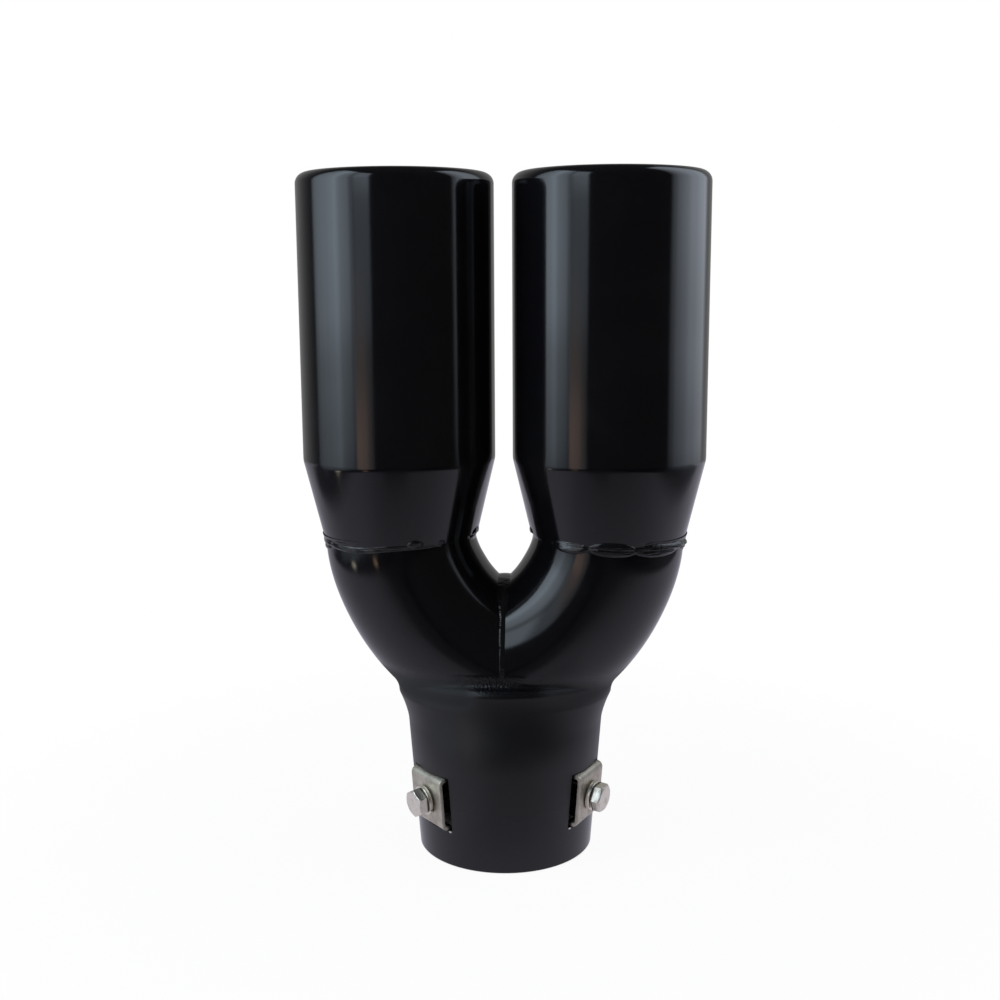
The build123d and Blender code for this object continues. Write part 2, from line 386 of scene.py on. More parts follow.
def clip_place(scene, bearing):
    """Matrix of a clip's own frame: X along the rim, Y up the wall, Z outward, on the collar's wall."""
    clip, collar = scene.tip_clip, scene.tip_collar
    lean = math.atan(collar.taper)
    radius = collar_radius(collar, clip.height)
    cos, sin = math.cos(bearing), math.sin(bearing)
    along = Vector((-sin, cos, 0))
    out = Vector((math.cos(lean) * cos, math.cos(lean) * sin, -math.sin(lean)))
    up = out.cross(along)
    place = Matrix((along, up, out)).transposed().to_4x4()
    place.translation = (radius * cos, radius * sin, clip.height)
    return place


def spin(degrees):
    """Matrix of a turn about a clip's own outward axis."""
    return Matrix.Rotation(math.radians(degrees), 4, "Z")


def put(place, points):
    """Points of a clip's own frame moved into the part's frame."""
    turn = np.array(place.to_3x3())
    return np.asarray(points, float).reshape(-1, 3) @ turn.T + np.array(place.translation)


# Shader helpers

class Value:
    """A shader socket that takes part in arithmetic: each operation adds a Math node."""

    def __init__(self, finish, socket):
        self.finish = finish
        self.socket = socket

    def math(self, operation, first, second):
        return self.finish.node("ShaderNodeMath", {"operation": operation}, {0: first, 1: second})

    def __add__(self, other):
        return self.math("ADD", self, other)

    __radd__ = __add__

    def __sub__(self, other):
        return self.math("SUBTRACT", self, other)

    def __rsub__(self, other):
        return self.math("SUBTRACT", other, self)

    def __mul__(self, other):
        return self.math("MULTIPLY", self, other)

    __rmul__ = __mul__


def square_off(value, place):
    """Square of the distance of a value from a place."""
    off = value - place
    return off * off


def set_stops(ramp, stops):
    """Gives a ramp one grey stop for each position and level."""
    ramp.interpolation = "EASE"
    while len(ramp.elements) < len(stops):
        ramp.elements.new(1.0)
    for element, (position, level) in zip(ramp.elements, stops):
        element.position = position
        element.color = (level, level, level, 1.0)


class Finish:
    """The node tree of a material, a lamp or the world, filled one node at a time."""

    def __init__(self, owner):
        owner.use_nodes = True
        self.owner = owner
        self.tree = owner.node_tree
        self.tree.nodes.clear()

    def node(self, kind, settings, sockets, output=0):
        """Adds a node: its settings first, then the values or links of its sockets."""
        made = self.tree.nodes.new(kind)
        for key, value in settings.items():
            if key == "stops":
                set_stops(made.color_ramp, value)
            else:
                setattr(made, key, value)
        for key, value in sockets.items():
            if isinstance(value, Value):
                self.tree.links.new(value.socket, made.inputs[key])
            else:
                made.inputs[key].default_value = value
        return Value(self, made.outputs[output]) if len(made.outputs) else None

    def noise(self, place, scale, detail=2.0, roughness=0.5, distortion=0.0):
        """Noise from 0 to 1."""
        sockets = {"Vector": place, "Scale": scale, "Detail": detail, "Roughness": roughness}
        sockets["Distortion"] = distortion
        return self.node("ShaderNodeTexNoise", {}, sockets)

    def step(self, value, low, high):
        """0 below low, 1 above high, smooth between."""
        sockets = {"Value": value, "From Min": low, "From Max": high}
        return self.node("ShaderNodeMapRange", {"interpolation_type": "SMOOTHSTEP"}, sockets)

    def band(self, value, low, high):
        """1 in a band that fades in over the two values of low and out over the two of high."""
        return self.step(value, *low) * (1.0 - self.step(value, *high))

    def vector(self, operation, first, second, output="Vector"):
        """A sum on two vectors, whose output is Value where it gives a number."""
        return self.node("ShaderNodeVectorMath", {"operation": operation}, {0: first, 1: second}, output)

    def blend(self, factor, first, second):
        """Mix of two colours."""
        return self.node("ShaderNodeMix", {"data_type": "RGBA"}, {0: factor, 6: first, 7: second}, 2)

    def bump(self, height, distance, normal=None):
        """Bumps of the given depth, over other bumps if there are any."""
        sockets = {"Height": height, "Strength": 1.0, "Distance": distance}
        if normal is not None:
            sockets["Normal"] = normal
        return self.node("ShaderNodeBump", {}, sockets)

    def surface(self, sockets):
        """Ends the tree in one Principled shader and gives back the material."""
        shader = self.node("ShaderNodeBsdfPrincipled", {}, sockets)
        self.node("ShaderNodeOutputMaterial", {}, {"Surface": shader})
        return self.owner


def new_finish(name):
    """An empty material's tree, with the part's own coordinates."""
    finish = Finish(bpy.data.materials.new(name))
    return finish, finish.node("ShaderNodeTexCoord", {}, {}, "Object")


def axes_of(finish, vector):
    """The three parts of a vector."""
    return [finish.node("ShaderNodeSeparateXYZ", {}, {0: vector}, key) for key in "XYZ"]


def rgba(colour_value):
    """A colour with full alpha."""
    return (*colour_value, 1.0)


# Materials

def window_chips(scene):
    """Where the paint is chipped: the lower corners, nearest the middle, of the two front windows."""
    clip = scene.tip_clip
    from_side = 0.0011
    across = clip.width / 2 + clip.side_gap - from_side
    half_tall = clip.tall / 2 + clip.end_gap
    sag = 0.5 * across**2 / scene.tip_collar.mouth_radius
    chips = []
    for name, side in (("front_left", 1), ("front_right", -1)):
        corner = (side * across, -half_tall, -sag)
        chips.append(put(clip_place(scene, clip_bearings(clip)[name]), corner)[0])
    return chips


def bare_spots(scene, finish, place):
    """1 where the paint is chipped off."""
    bare = None
    for chip in window_chips(scene):
        away = finish.vector("DISTANCE", place, chip, "Value")
        spot = 1.0 - finish.step(away, 0.0006, 0.0009)
        bare = spot if bare is None else bare + spot
    return bare


def paint_material(scene):
    """Black coat: glossy on the tubes and duller on the collar, with orange peel, smears, dust and chips."""
    colours = scene.tip_finish
    finish, place = new_finish("gloss_black_paint")
    x, _, height = axes_of(finish, place)
    peel = finish.noise(place, scale=850.0, detail=2.0, roughness=0.45)
    wave = finish.noise(place, scale=42.0, detail=1.0, roughness=0.4)
    smear = finish.noise(place, scale=30.0, detail=5.0, roughness=0.6, distortion=0.6)
    grit = finish.noise(place, scale=1100.0, detail=2.0, roughness=0.6)
    dust = finish.step(finish.noise(place, scale=2600.0, detail=1.0), 0.74, 0.8)
    haze = finish.step(smear, 0.45, 0.8)
    bare = bare_spots(scene, finish, place)

    # The collar's wall is dull, its shoulder has dry spray at the sides, its weld is gritty in the middle
    dull = finish.band(height, (0.012, 0.034), (0.067, 0.078))
    spray = finish.band(height, (0.064, 0.069), (0.074, 0.082))
    spray = spray * finish.step(square_off(x, 0.002), 0.00008, 0.0003)
    left = finish.step(0.0 - x, -0.002, 0.008)
    gritty = finish.band(height, (0.0725, 0.0735), (0.0775, 0.079))
    gritty = gritty * (1.0 - finish.step(square_off(x, -0.006), 0.00008, 0.0003))

    tint = finish.blend(haze, rgba(colours.paint), wear_and_shade["smear"])
    tint = finish.blend(dust * 0.2, tint, wear_and_shade["dust"])
    tint = finish.blend(spray, tint, wear_and_shade["dry_spray"])
    tint = finish.blend(bare, tint, wear_and_shade["chip"])
    roughness = colours.paint_gloss + haze * 0.035 + dust * 0.15 + dull * 0.3
    roughness = roughness + spray * (0.25 + 0.25 * left) + bare * 0.2
    normal = finish.bump(wave, 0.00004)
    normal = finish.bump(peel, 0.000005, normal)
    normal = finish.bump(grit * gritty, 0.0004, normal)
    return finish.surface(
        {"Base Color": tint, "Metallic": bare, "Roughness": roughness, "IOR": 1.5, "Normal": normal}
    )


def weld_material(scene):
    """The same coat lying over weld metal: streaks along the bead, a few pits and duller hollows."""
    colours = scene.tip_finish
    finish, place = new_finish("black_painted_weld")
    stretched = finish.vector("MULTIPLY", place, (0.16, 0.16, 1.0))
    streak = finish.noise(stretched, scale=900.0, detail=2.0)
    pits = finish.step(finish.noise(place, scale=420.0, detail=2.0), 0.25, 0.5)
    dull = finish.noise(place, scale=160.0, detail=3.0, roughness=0.55)
    tint = finish.blend(dull, rgba(colours.paint), wear_and_shade["weld_hollow"])
    normal = finish.bump(pits, 0.00006)
    normal = finish.bump(streak, 0.00035, normal)
    return finish.surface(
        {"Base Color": tint, "Roughness": 0.1 + 0.1 * dull, "IOR": 1.5, "Normal": normal}
    )


def clip_material(scene):
    """Satin stainless sheet: drawn lines, cloudy patches, brown stains, painted shade inside the pipe."""
    colours = scene.tip_finish
    finish, place = new_finish("satin_clip_steel")
    local = finish.node("ShaderNodeAttribute", {"attribute_name": "local"}, {}, "Vector")
    stretched = finish.vector("MULTIPLY", local, (0.05, 1.0, 1.0))
    _, _, outward = axes_of(finish, local)
    drawn = finish.noise(stretched, scale=5200.0, detail=3.0, roughness=0.6)
    cloud = finish.noise(place, scale=260.0, detail=5.0, roughness=0.65)
    stain = finish.step(finish.noise(place, scale=150.0, detail=4.0, roughness=0.6), 0.52, 0.72)
    speck = finish.step(finish.noise(place, scale=1100.0, detail=2.0), 0.66, 0.76)
    # Painted shade: the sheet behind the collar's wall, inside the pipe, is made dark, duller and less
    # metallic
    soot_and_shade = 1.0 - finish.step(outward, -0.0016, -0.0002)
    tint = finish.blend(finish.step(cloud, 0.3, 0.7), rgba(colours.clip), wear_and_shade["clip_patch"])
    tint = finish.blend(stain * 0.45, tint, wear_and_shade["clip_stain"])
    tint = finish.blend(speck * 0.5, tint, wear_and_shade["clip_speck"])
    tint = finish.blend(soot_and_shade, tint, wear_and_shade["clip_shade_inside"])
    return finish.surface(
        {
            "Base Color": tint,
            "Metallic": 1.0 - soot_and_shade * 0.8,
            "Roughness": 0.42 + 0.1 * drawn + 0.1 * cloud + 0.3 * soot_and_shade,
            "Normal": finish.bump(drawn, 0.00003),
        }
    )


def bolt_material(scene):
    """Tumbled stainless: turned rings on the head's top, cloudy scuffs, faint stains, painted shade in the
    crevices and a sooty thread.
    """
    colours = scene.tip_finish
    finish, place = new_finish("bright_bolt_steel")
    local = finish.node("ShaderNodeAttribute", {"attribute_name": "local"}, {}, "Vector")
    flat = finish.vector("MULTIPLY", local, (1.0, 1.0, 0.0))
    radius = finish.node("ShaderNodeVectorMath", {"operation": "LENGTH"}, {0: flat}, "Value")
    _, _, outward = axes_of(finish, local)
    rings = finish.node("ShaderNodeMath", {"operation": "SINE"}, {0: radius * 26000.0})
    scuff = finish.noise(place, scale=520.0, detail=4.0, roughness=0.65)
    stain = finish.step(finish.noise(place, scale=330.0, detail=4.0, roughness=0.6), 0.48, 0.75)
    soot_and_shade = 1.0 - finish.step(outward, -0.003, 0.001)
    seat = scene.tip_clip.proud
    head_seat = seat + scene.tip_bolt.washer_thickness + scene.tip_bolt.washer_rise
    # Painted shade in the crevices where the washer sits on the clip and where the head sits on the washer
    crevice_shade = 1.0 - finish.step(outward, seat + 0.0001, seat + 0.0005)
    crevice_shade = crevice_shade + 1.0 - finish.step(square_off(outward, head_seat), 2e-8, 1.6e-7)
    tint = finish.blend(stain * 0.6, rgba(colours.bolt), wear_and_shade["bolt_stain"])
    tint = finish.blend(crevice_shade * 0.9, tint, wear_and_shade["bolt_crevice_shade"])
    tint = finish.blend(soot_and_shade * 0.9, tint, wear_and_shade["bolt_soot"])
    normal = finish.bump(rings, 0.000004)
    normal = finish.bump(scuff, 0.00003, normal)
    return finish.surface(
        {
            "Base Color": tint,
            "Metallic": 1.0,
            "Roughness": 0.29 + 0.16 * scuff + 0.1 * stain,
            "Normal": normal,
        }
    )


def finish_named(name, make):
    """The material of that name, made on first use."""
    return bpy.data.materials.get(name) or make()


def tube_paint(scene):
    """Paint of the tubes and the collar."""
    return finish_named("gloss_black_paint", lambda: paint_material(scene))


def weld_paint(scene):
    """Paint of the welds."""
    return finish_named("black_painted_weld", lambda: weld_material(scene))


# Outlet sleeves

def outlet_profile(scene, lean):
    """Radius and height of points over the lip, from the outer bend to the inner bend."""
    outlet, wall = scene.tip_outlet, scene.tip_collar.wall
    top = cad_high.z
    roll = top - outlet.lip_radius
    radius, lip = outlet.radius, outlet.lip_radius
    tail_radius = radius - 2 * lip
    tail_end = roll - outlet.lip_tail
    bend_mid = (radius - outlet.bend_radius, outlet.bend_height + outlet.bend_radius * math.tan(lean / 2))
    straight = np.linspace(bend_mid[1], roll, 14)[1:-1]
    edge = wall / 2
    points = arc(bend_mid, outlet.bend_radius, -lean, 0.0, 8)
    points += [(radius, z) for z in straight]
    points += arc((radius - lip, roll), lip, 0.0, math.pi, 28)
    points += arc((tail_radius + edge, tail_end + edge), edge, math.pi, 2 * math.pi, 9)
    points += arc((radius - lip, roll), lip - wall, math.pi, 0.0, 18)
    points += [(radius - wall, z) for z in straight[::-1]]
    points += arc(bend_mid, outlet.bend_radius - wall, 0.0, -lean, 6)
    return points


def foot_point(scene, side, lean, inset, turn):
    """Radius and height where a sleeve's tapered foot meets the weld's plane, at an angle around it."""
    outlet, weld = scene.tip_outlet, scene.tip_weld
    slope = -math.tan(weld.tilt) * side * math.cos(turn)
    bend = outlet.bend_height + inset * math.tan(lean / 2)
    lean_run = math.tan(lean)
    start = outlet.radius - inset - (bend - weld.height) * lean_run
    radius = start / (1 - slope * lean_run)
    return radius, weld.height + slope * radius


def outlet_mesh(scene, side, around=224, foot_rows=10):
    """Points and faces of one sleeve."""
    lean = foot_lean(scene)
    profile = outlet_profile(scene, lean)
    columns = []
    for turn in np.linspace(0, 2 * math.pi, around, endpoint=False):
        outer = foot_point(scene, side, lean, 0.0, turn)
        inner = foot_point(scene, side, lean, scene.tip_collar.wall, turn)
        rise = np.linspace(0, 1, foot_rows, endpoint=False)
        first, last = np.array(profile[0]), np.array(profile[-1])
        up = [tuple(np.array(outer) + (first - np.array(outer)) * t) for t in rise]
        down = [tuple(np.array(inner) + (last - np.array(inner)) * t) for t in rise[::-1]]
        radius, height = np.array(up + profile + down).T
        x = side * scene.tip_outlet.offset + radius * math.cos(turn)
        columns.append(np.stack([x, radius * math.sin(turn), height], axis=1))
    points = np.stack(columns)
    return points, grid_faces(around, points.shape[1], True, True)


# Elbows

def elbow_start(scene, ring, rounds=12):
    """Turn of the bend where lines of the given bend radius cross the weld's plane."""
    bend_x, bend_z = bend_centre(scene)
    weld, offset = scene.tip_weld, scene.tip_outlet.offset
    slope = math.tan(weld.tilt)
    turn = np.full_like(ring, scene.tip_elbow.start_angle)
    for _ in range(rounds):
        x = bend_x + ring * np.cos(turn)
        z = bend_z - ring * np.sin(turn)
        error = z - (weld.height - slope * (x - offset))
        turn = turn + error / (ring * np.cos(turn) + slope * ring * np.sin(turn))
    return turn


def elbow_end(scene, ring):
    """Turn of the bend where such lines reach the middle plane or the open lower end."""
    bend_x, bend_z = bend_centre(scene)
    mitre = np.arccos(np.clip(-bend_x / ring, -1, 1))
    drop = np.clip((bend_z - scene.tip_elbow.end_height) / ring, -1, 1)
    return np.minimum(mitre, np.arcsin(drop))


def elbow_wall(scene, side, radius, around, along):
    """Grid of points over one wall of an elbow."""
    elbow = scene.tip_elbow
    bend_x, bend_z = bend_centre(scene)
    turn = np.linspace(0, 2 * math.pi, around, endpoint=False)
    ring = elbow.bend_radius + radius * np.cos(turn)
    start, end = elbow_start(scene, ring), elbow_end(scene, ring)
    share = np.linspace(0, 1, along)
    bend = start[:, None] + (end - start)[:, None] * share[None, :]
    walk = elbow.bend_radius * (bend - start[:, None])
    ring = ring[:, None] + elbow.tail_slope * walk * np.clip(1 - walk / elbow.tail, 0, 1) ** 2
    x = side * (bend_x + ring * np.cos(bend))
    z = bend_z - ring * np.sin(bend)
    y = np.broadcast_to((radius * np.sin(turn))[:, None], x.shape)
    return np.stack([x, y, z], axis=2)


def elbow_mesh(scene, side, around=176, along=80):
    """Points and faces of one elbow, outer and inner wall."""
    outer = elbow_wall(scene, side, scene.tip_elbow.radius, around, along)
    inner = elbow_wall(scene, side, scene.tip_elbow.radius - scene.tip_collar.wall, around, along)
    points = np.concatenate([outer, inner[:, ::-1]], axis=1)
    return points, grid_faces(around, 2 * along, True, True)


# Collar

def collar_ring(collar, height, inset, drop, turns):
    """Ring of points around the collar at a height, pulled in by inset and by the shoulder's drop."""
    flare_start = flare_top(collar) - collar.flare_height
    flared = np.clip((height - flare_start) / collar.flare_height, 0.0, 1.0)
    squeeze_start = collar.shoulder_height - collar.squeeze_height
    radius = collar_radius(collar, height) - inset - drop
    width = radius + collar.flare_out * flared**collar.flare_curve
    depth = radius - collar.squeeze * ease((height - squeeze_start) / collar.squeeze_height)
    heights = np.broadcast_to(height, turns.shape)
    return np.stack([width * np.cos(turns), depth * np.sin(turns), heights], axis=-1)


def collar_crown(collar, inset, share, turns):
    """Points over neck, rounded shoulder and lid: share runs from 0 at the flare to 1 at the lid's end."""
    radius = collar.shoulder_radius - inset
    turn = math.pi / 2 - collar.lid_slope
    lid_drop = collar_radius(collar, collar.shoulder_height) - collar.lid_half_depth
    arc_drop = radius * (1 - math.cos(turn))
    neck_share, arc_share = 0.3, 0.6
    rise = collar.neck * np.clip(share / neck_share, 0, 1)
    bend = turn * np.clip((share - neck_share) / (arc_share - neck_share), 0, 1)
    lid = np.clip((share - arc_share) / (1 - arc_share), 0, 1) * (lid_drop - arc_drop)
    height = flare_top(collar) + rise + radius * np.sin(bend) + lid * math.tan(collar.lid_slope)
    return collar_ring(collar, height, inset, radius * (1 - np.cos(bend)) + lid, turns)


def crown_end(scene, inset, turns, marks=81, halvings=30):
    """Share of the crown at which each column meets an elbow."""
    collar = scene.tip_collar
    low, high = np.zeros_like(turns), np.ones_like(turns)
    found = np.zeros(turns.shape, bool)
    steps = np.linspace(0, 1, marks)
    for before, after in zip(steps[:-1], steps[1:]):
        inside = elbow_gap(scene, collar_crown(collar, inset, np.full_like(turns, after), turns)) < 0
        fresh = inside & ~found
        low[fresh], high[fresh] = before, after
        found |= inside
    for _ in range(halvings):
        middle = (low + high) / 2
        inside = elbow_gap(scene, collar_crown(collar, inset, middle, turns)) < 0
        high = np.where(inside, middle, high)
        low = np.where(inside, low, middle)
    return high


def window_columns(clip, per_window, per_turn):
    """Columns around the collar: key positions at the windows' edges, with even steps between them."""
    bearings = sorted(clip_bearings(clip).values())
    steps, marks = [], []
    for key, bearing in enumerate(bearings):
        following = bearings[key + 1] if key + 1 < len(bearings) else bearings[0] + 2 * math.pi
        marks.append((len(steps), len(steps) + per_window))
        steps += [2 * key + i / per_window for i in range(per_window)]
        between = max(8, round(per_turn * (following - bearing) / (2 * math.pi)))
        steps += [2 * key + 1 + i / between for i in range(between)]
    return np.array(steps), bearings, marks


def column_turns(steps, bearings, half_width, radius):
    """Angles of the columns at a radius, where the windows' sides are half_width from their middle."""
    half = math.asin(half_width / radius)
    keys = []
    for bearing in bearings:
        keys += [bearing - half, bearing + half]
    keys.append(bearings[0] - half + 2 * math.pi)
    return np.interp(steps, np.arange(len(keys)), keys)


def collar_levels(scene):
    """Heights of the rows up the collar's wall, and which of them are a window's lower and upper edge."""
    collar, clip = scene.tip_collar, scene.tip_clip
    half_tall = (clip.tall / 2 + clip.end_gap) * math.cos(math.atan(collar.taper))
    low, high = clip.height - half_tall, clip.height + half_tall
    neck = flare_top(collar)
    flare = neck - collar.flare_height
    rim = collar.rim_round
    levels = [rim]
    for start, end, count in ((rim, low, 6), (low, high, 9), (high, flare, 13), (flare, neck, 13)):
        levels += list(np.linspace(start, end, count))[1:]
    return levels, levels.index(low), levels.index(high)


def collar_faces(count, cols, marks, pairs):
    """Faces over both sides of the collar's sheet and the cut edges of its windows.

    marks are each window's first and last column, and pairs the outer and inner row at each of its heights.
    """
    (bottom, inner_bottom), (top, inner_top) = pairs[0], pairs[-1]

    def in_window(i, j):
        in_rows = bottom <= i < top or inner_top <= i < inner_bottom
        return in_rows and any(first <= j < last for first, last in marks)

    faces = grid_faces(count, cols, True, True, in_window)
    for first, last in marks:
        for (a, b), (c, d) in zip(pairs[:-1], pairs[1:]):
            for j in (first, last):
                faces.append((a * cols + j, b * cols + j, d * cols + j, c * cols + j))
        for j in range(first, last):
            for a, b in (pairs[0], pairs[-1]):
                faces.append((a * cols + j, a * cols + j + 1, b * cols + j + 1, b * cols + j))
    return faces


def collar_mesh(scene, per_window=12, per_turn=216, crown_rows=36):
    """Points and faces of the collar, with its three windows cut through the wall."""
    collar, clip = scene.tip_collar, scene.tip_clip
    steps, bearings, marks = window_columns(clip, per_window, per_turn)
    half_width = clip.width / 2 + clip.side_gap
    levels, low, high = collar_levels(scene)
    wall, rim = collar.wall, collar.rim_round

    def turns_at(inset, height):
        return column_turns(steps, bearings, half_width, collar_radius(collar, height) - inset)

    def side_rows(inset):
        rows = [collar_ring(collar, z, inset, 0.0, turns_at(inset, z)) for z in levels]
        turns = turns_at(inset, levels[-1])
        ends = crown_end(scene, inset, turns)
        shares = np.linspace(0, 1, crown_rows + 1)[1:]
        return rows + [collar_crown(collar, inset, ends * share, turns) for share in shares]

    rows = [collar_ring(collar, 0.0, rim, 0.0, turns_at(rim, 0.0))]
    rows += side_rows(0.0) + side_rows(wall)[::-1]
    rows.append(collar_ring(collar, 0.0, wall - rim, 0.0, turns_at(wall, 0.0)))
    count = len(rows)
    pairs = [(1 + level, count - 2 - level) for level in range(low, high + 1)]
    return np.stack(rows), collar_faces(count, len(steps), marks, pairs)


# Welds

def weld_drops(seed, run, count, half_length, half_width, height):
    """Drops of a bead, scattered along it: place, half length, sideways shift, half width, height, slope."""
    dice = np.random.RandomState(seed)
    places = (np.arange(count) + dice.uniform(-0.32, 0.32, count)) * run / count
    return np.stack(
        [
            places,
            half_length * dice.uniform(0.75, 1.35, count),
            half_width * dice.uniform(-0.3, 0.3, count),
            half_width * dice.uniform(0.62, 1.0, count),
            height * dice.uniform(0.4, 1.0, count) ** 1.3,
            np.zeros(count),
        ],
        axis=1,
    )


def bead_height(drops, run, along, across, closed):
    """Height of the bead over its base, from its flat-topped drops melted together."""
    total = np.zeros(np.broadcast(along, across).shape)
    melt, flatness = 5.0, 0.38
    for place, half_length, shift, half_width, height, slope in drops:
        away = along - place
        if closed:
            away = (away + run / 2) % run - run / 2
        reach = (away / half_length) ** 2 + ((across - shift) / half_width) ** 2
        thick = np.clip(height - slope * (across - shift), 0, None)
        dome = thick * np.clip(1 - reach, 0, None) ** flatness
        total = total + dome**melt
    return total ** (1 / melt)


def outlet_drops(scene, name, seed):
    """All puddles of one outlet weld: those that show on the front, and others around the back."""
    weld, radius = scene.tip_weld, scene.tip_elbow.radius
    drops = []
    for bearing, *sizes in front_puddles[name]:
        place = radius * math.radians(bearing - 90.0)
        drops.append([place] + [0.001 * size for size in sizes[:-1]] + [sizes[-1]])
    half_length = 0.0085
    back = weld_drops(seed, math.pi * radius, weld.drop_count, half_length, weld.half_width, weld.proud)
    return np.concatenate([np.array(drops), back])


def outlet_weld_mesh(scene, name, side, seed, around=640, across=33):
    """Points and faces of the smeared bead around one outlet's joint."""
    weld, elbow, outlet = scene.tip_weld, scene.tip_elbow, scene.tip_outlet
    core_height, core_half_width = 0.0004, 0.4 * weld.half_width
    edge_fade, sink, root_depth = 0.0006, 0.00022, 0.0007
    slow_sway, quick_sway = 0.0003, 0.0002
    run = 2 * math.pi * elbow.radius
    drops = outlet_drops(scene, name, seed)
    turn = np.linspace(0, 2 * math.pi, around, endpoint=False)[:, None]
    lift = np.linspace(-1, 1, across)[None, :] * weld.half_width
    sway = slow_sway * np.sin(3 * turn + seed) + quick_sway * np.sin(7 * turn)
    core = core_height * np.sqrt(np.clip(1 - ((lift - sway) / core_half_width) ** 2, 0, None))
    height = np.maximum(bead_height(drops, run, turn * elbow.radius, lift - sway, True), core)
    height = height * ease((weld.half_width - np.abs(lift)) / edge_fade)
    cone = elbow.radius + outlet.foot_step + lift * math.tan(foot_lean(scene))
    seat = np.where(lift > 0, cone, elbow.radius)
    radius = seat - sink + height
    buried = np.full((around, 1), elbow.radius - root_depth)
    radius = np.concatenate([radius, buried], axis=1)
    lift = np.concatenate([np.broadcast_to(lift, (around, across)), np.zeros((around, 1))], axis=1)
    lean = weld.tilt
    level = radius * np.cos(turn) * side
    x = level * math.cos(lean) + lift * math.sin(lean)
    z = -level * math.sin(lean) + lift * math.cos(lean)
    points = np.stack([side * (outlet.offset + x), radius * np.sin(turn), weld.height + z], axis=2)
    return points, grid_faces(around, across + 1, True, True)


def seam_mesh(scene, along=300, across=13, seed=71, drop_count=14):
    """Points and faces of the weld along the elbows' mitre, from front to back over the crotch."""
    weld, elbow = scene.tip_weld, scene.tip_elbow
    drop_half_length, drop_height, swell = 0.006, 0.00014, 0.0001
    widen_below, widen_run = 0.006, 0.008
    shift_share, reach_share = 0.4, 0.9
    sink, root_depth, root_share = 0.00006, 0.0004, 0.985
    bend_x, bend_z = bend_centre(scene)
    low_ring = math.hypot(weld.seam_half_width - bend_x, bend_z - weld.seam_low)
    low_turn = math.acos((low_ring - elbow.bend_radius) / elbow.radius)
    turn = np.linspace(low_turn, 2 * math.pi - low_turn, along)[:, None]
    ring = elbow.bend_radius + elbow.radius * np.cos(turn)
    middle = bend_z - np.sqrt(ring**2 - bend_x**2)
    wide = ease((middle - weld.crotch_low + widen_below) / widen_run)
    half = weld.seam_half_width + (weld.crotch_half_width - weld.seam_half_width) * wide
    walk = elbow.radius * (turn - low_turn)
    run = float(walk[-1, 0])
    across_share = np.linspace(-1, 1, across)[None, :]
    drops = weld_drops(seed, run, drop_count, drop_half_length, 1.0, drop_height)
    drops[:, 2] *= shift_share
    height = bead_height(drops, run, walk, across_share * reach_share, False)
    edge = bend_z - np.sqrt(ring**2 - (half - bend_x) ** 2)
    normal_y = np.sin(turn) * np.ones_like(across_share)
    normal_z = -np.cos(turn) * np.ones_like(across_share)
    lift = (height + swell * (1 - across_share**2)) * (1 - across_share**4) - sink
    x = half * across_share
    y = elbow.radius * normal_y + lift * normal_y
    z = edge + lift * normal_z
    root_y = elbow.radius * np.sin(turn) * root_share
    root = np.stack([np.zeros((along, 1)), root_y, middle - root_depth], axis=2)
    points = np.concatenate([np.stack([x, y, z], axis=2), root], axis=1)
    return points, grid_faces(along, across + 1, False, True) + end_caps(along, across + 1)


def crown_walk(collar, ends, turns, back, steps=80):
    """Points on the collar's crown that lie a distance back along it from where it ends."""
    shares = np.linspace(0, 1, steps)
    path = np.stack([collar_crown(collar, 0.0, ends * share, turns) for share in shares])
    pace = np.linalg.norm(np.diff(path, axis=0), axis=2)
    left = pace.sum(axis=0) - np.concatenate([np.zeros((1, len(turns))), np.cumsum(pace, axis=0)])
    found = [np.interp(-back[k], -left[:, k], shares) for k in range(len(turns))]
    return collar_crown(collar, 0.0, ends * np.array(found), turns)


def elbow_normal(scene, points, step=0.00005):
    """Outward direction of the nearer elbow's wall at points."""
    parts = []
    for k in range(3):
        shift = step * np.eye(3)[k]
        parts.append(elbow_gap(scene, points + shift) - elbow_gap(scene, points - shift))
    slope = np.stack(parts, axis=-1)
    return slope / (np.linalg.norm(slope, axis=-1)[..., None] + tiny)


def collar_weld_mesh(scene, around=620, across=15, seed=23, drop_count=30):
    """Points and faces of the ground-down fillet between the collar's crown and the elbows."""
    collar, weld = scene.tip_collar, scene.tip_weld
    drop_half_length, side_start, side_run = 0.009, 0.012, 0.016
    sink, root_in, root_down = 0.00004, 0.0006, 0.0005
    turns = np.linspace(0, 2 * math.pi, around, endpoint=False)
    ends = crown_end(scene, 0.0, turns)
    corner = collar_crown(collar, 0.0, ends, turns)
    normal = elbow_normal(scene, corner)
    ahead = np.roll(corner, -1, axis=0) - np.roll(corner, 1, axis=0)
    ahead /= np.linalg.norm(ahead, axis=1)[:, None] + tiny
    up = np.cross(ahead, normal)
    up *= np.sign(up[:, 2:3])
    walk = np.concatenate([[0.0], np.cumsum(np.linalg.norm(np.diff(corner, axis=0), axis=1))])
    run = float(walk[-1] + np.linalg.norm(corner[0] - corner[-1]))
    drops = weld_drops(seed, run, drop_count, drop_half_length, 1.0, 1.0)
    swell = bead_height(drops, run, walk[:, None], np.zeros((1, 1)), True)[:, 0]
    sideways = ease((np.abs(corner[:, 0]) - side_start) / side_run)
    leg = weld.fillet * (0.55 + 0.25 * swell) * (1 + 0.9 * sideways)
    foot = crown_walk(collar, ends, turns, leg)
    head = corner + up * leg[:, None]
    head = head - normal * elbow_gap(scene, head)[:, None]
    rows = []
    for share in np.linspace(0, 1, across):
        rows.append((1 - share) ** 2 * foot + 2 * share * (1 - share) * corner + share**2 * head)
    rows.append(corner - normal * root_in + np.array([0, 0, -root_down]))
    points = np.stack(rows, axis=1)
    points[:, 0, 2] -= sink
    points[:, across - 1] -= normal * sink
    return points, grid_faces(around, across + 1, True, True)


# Clips

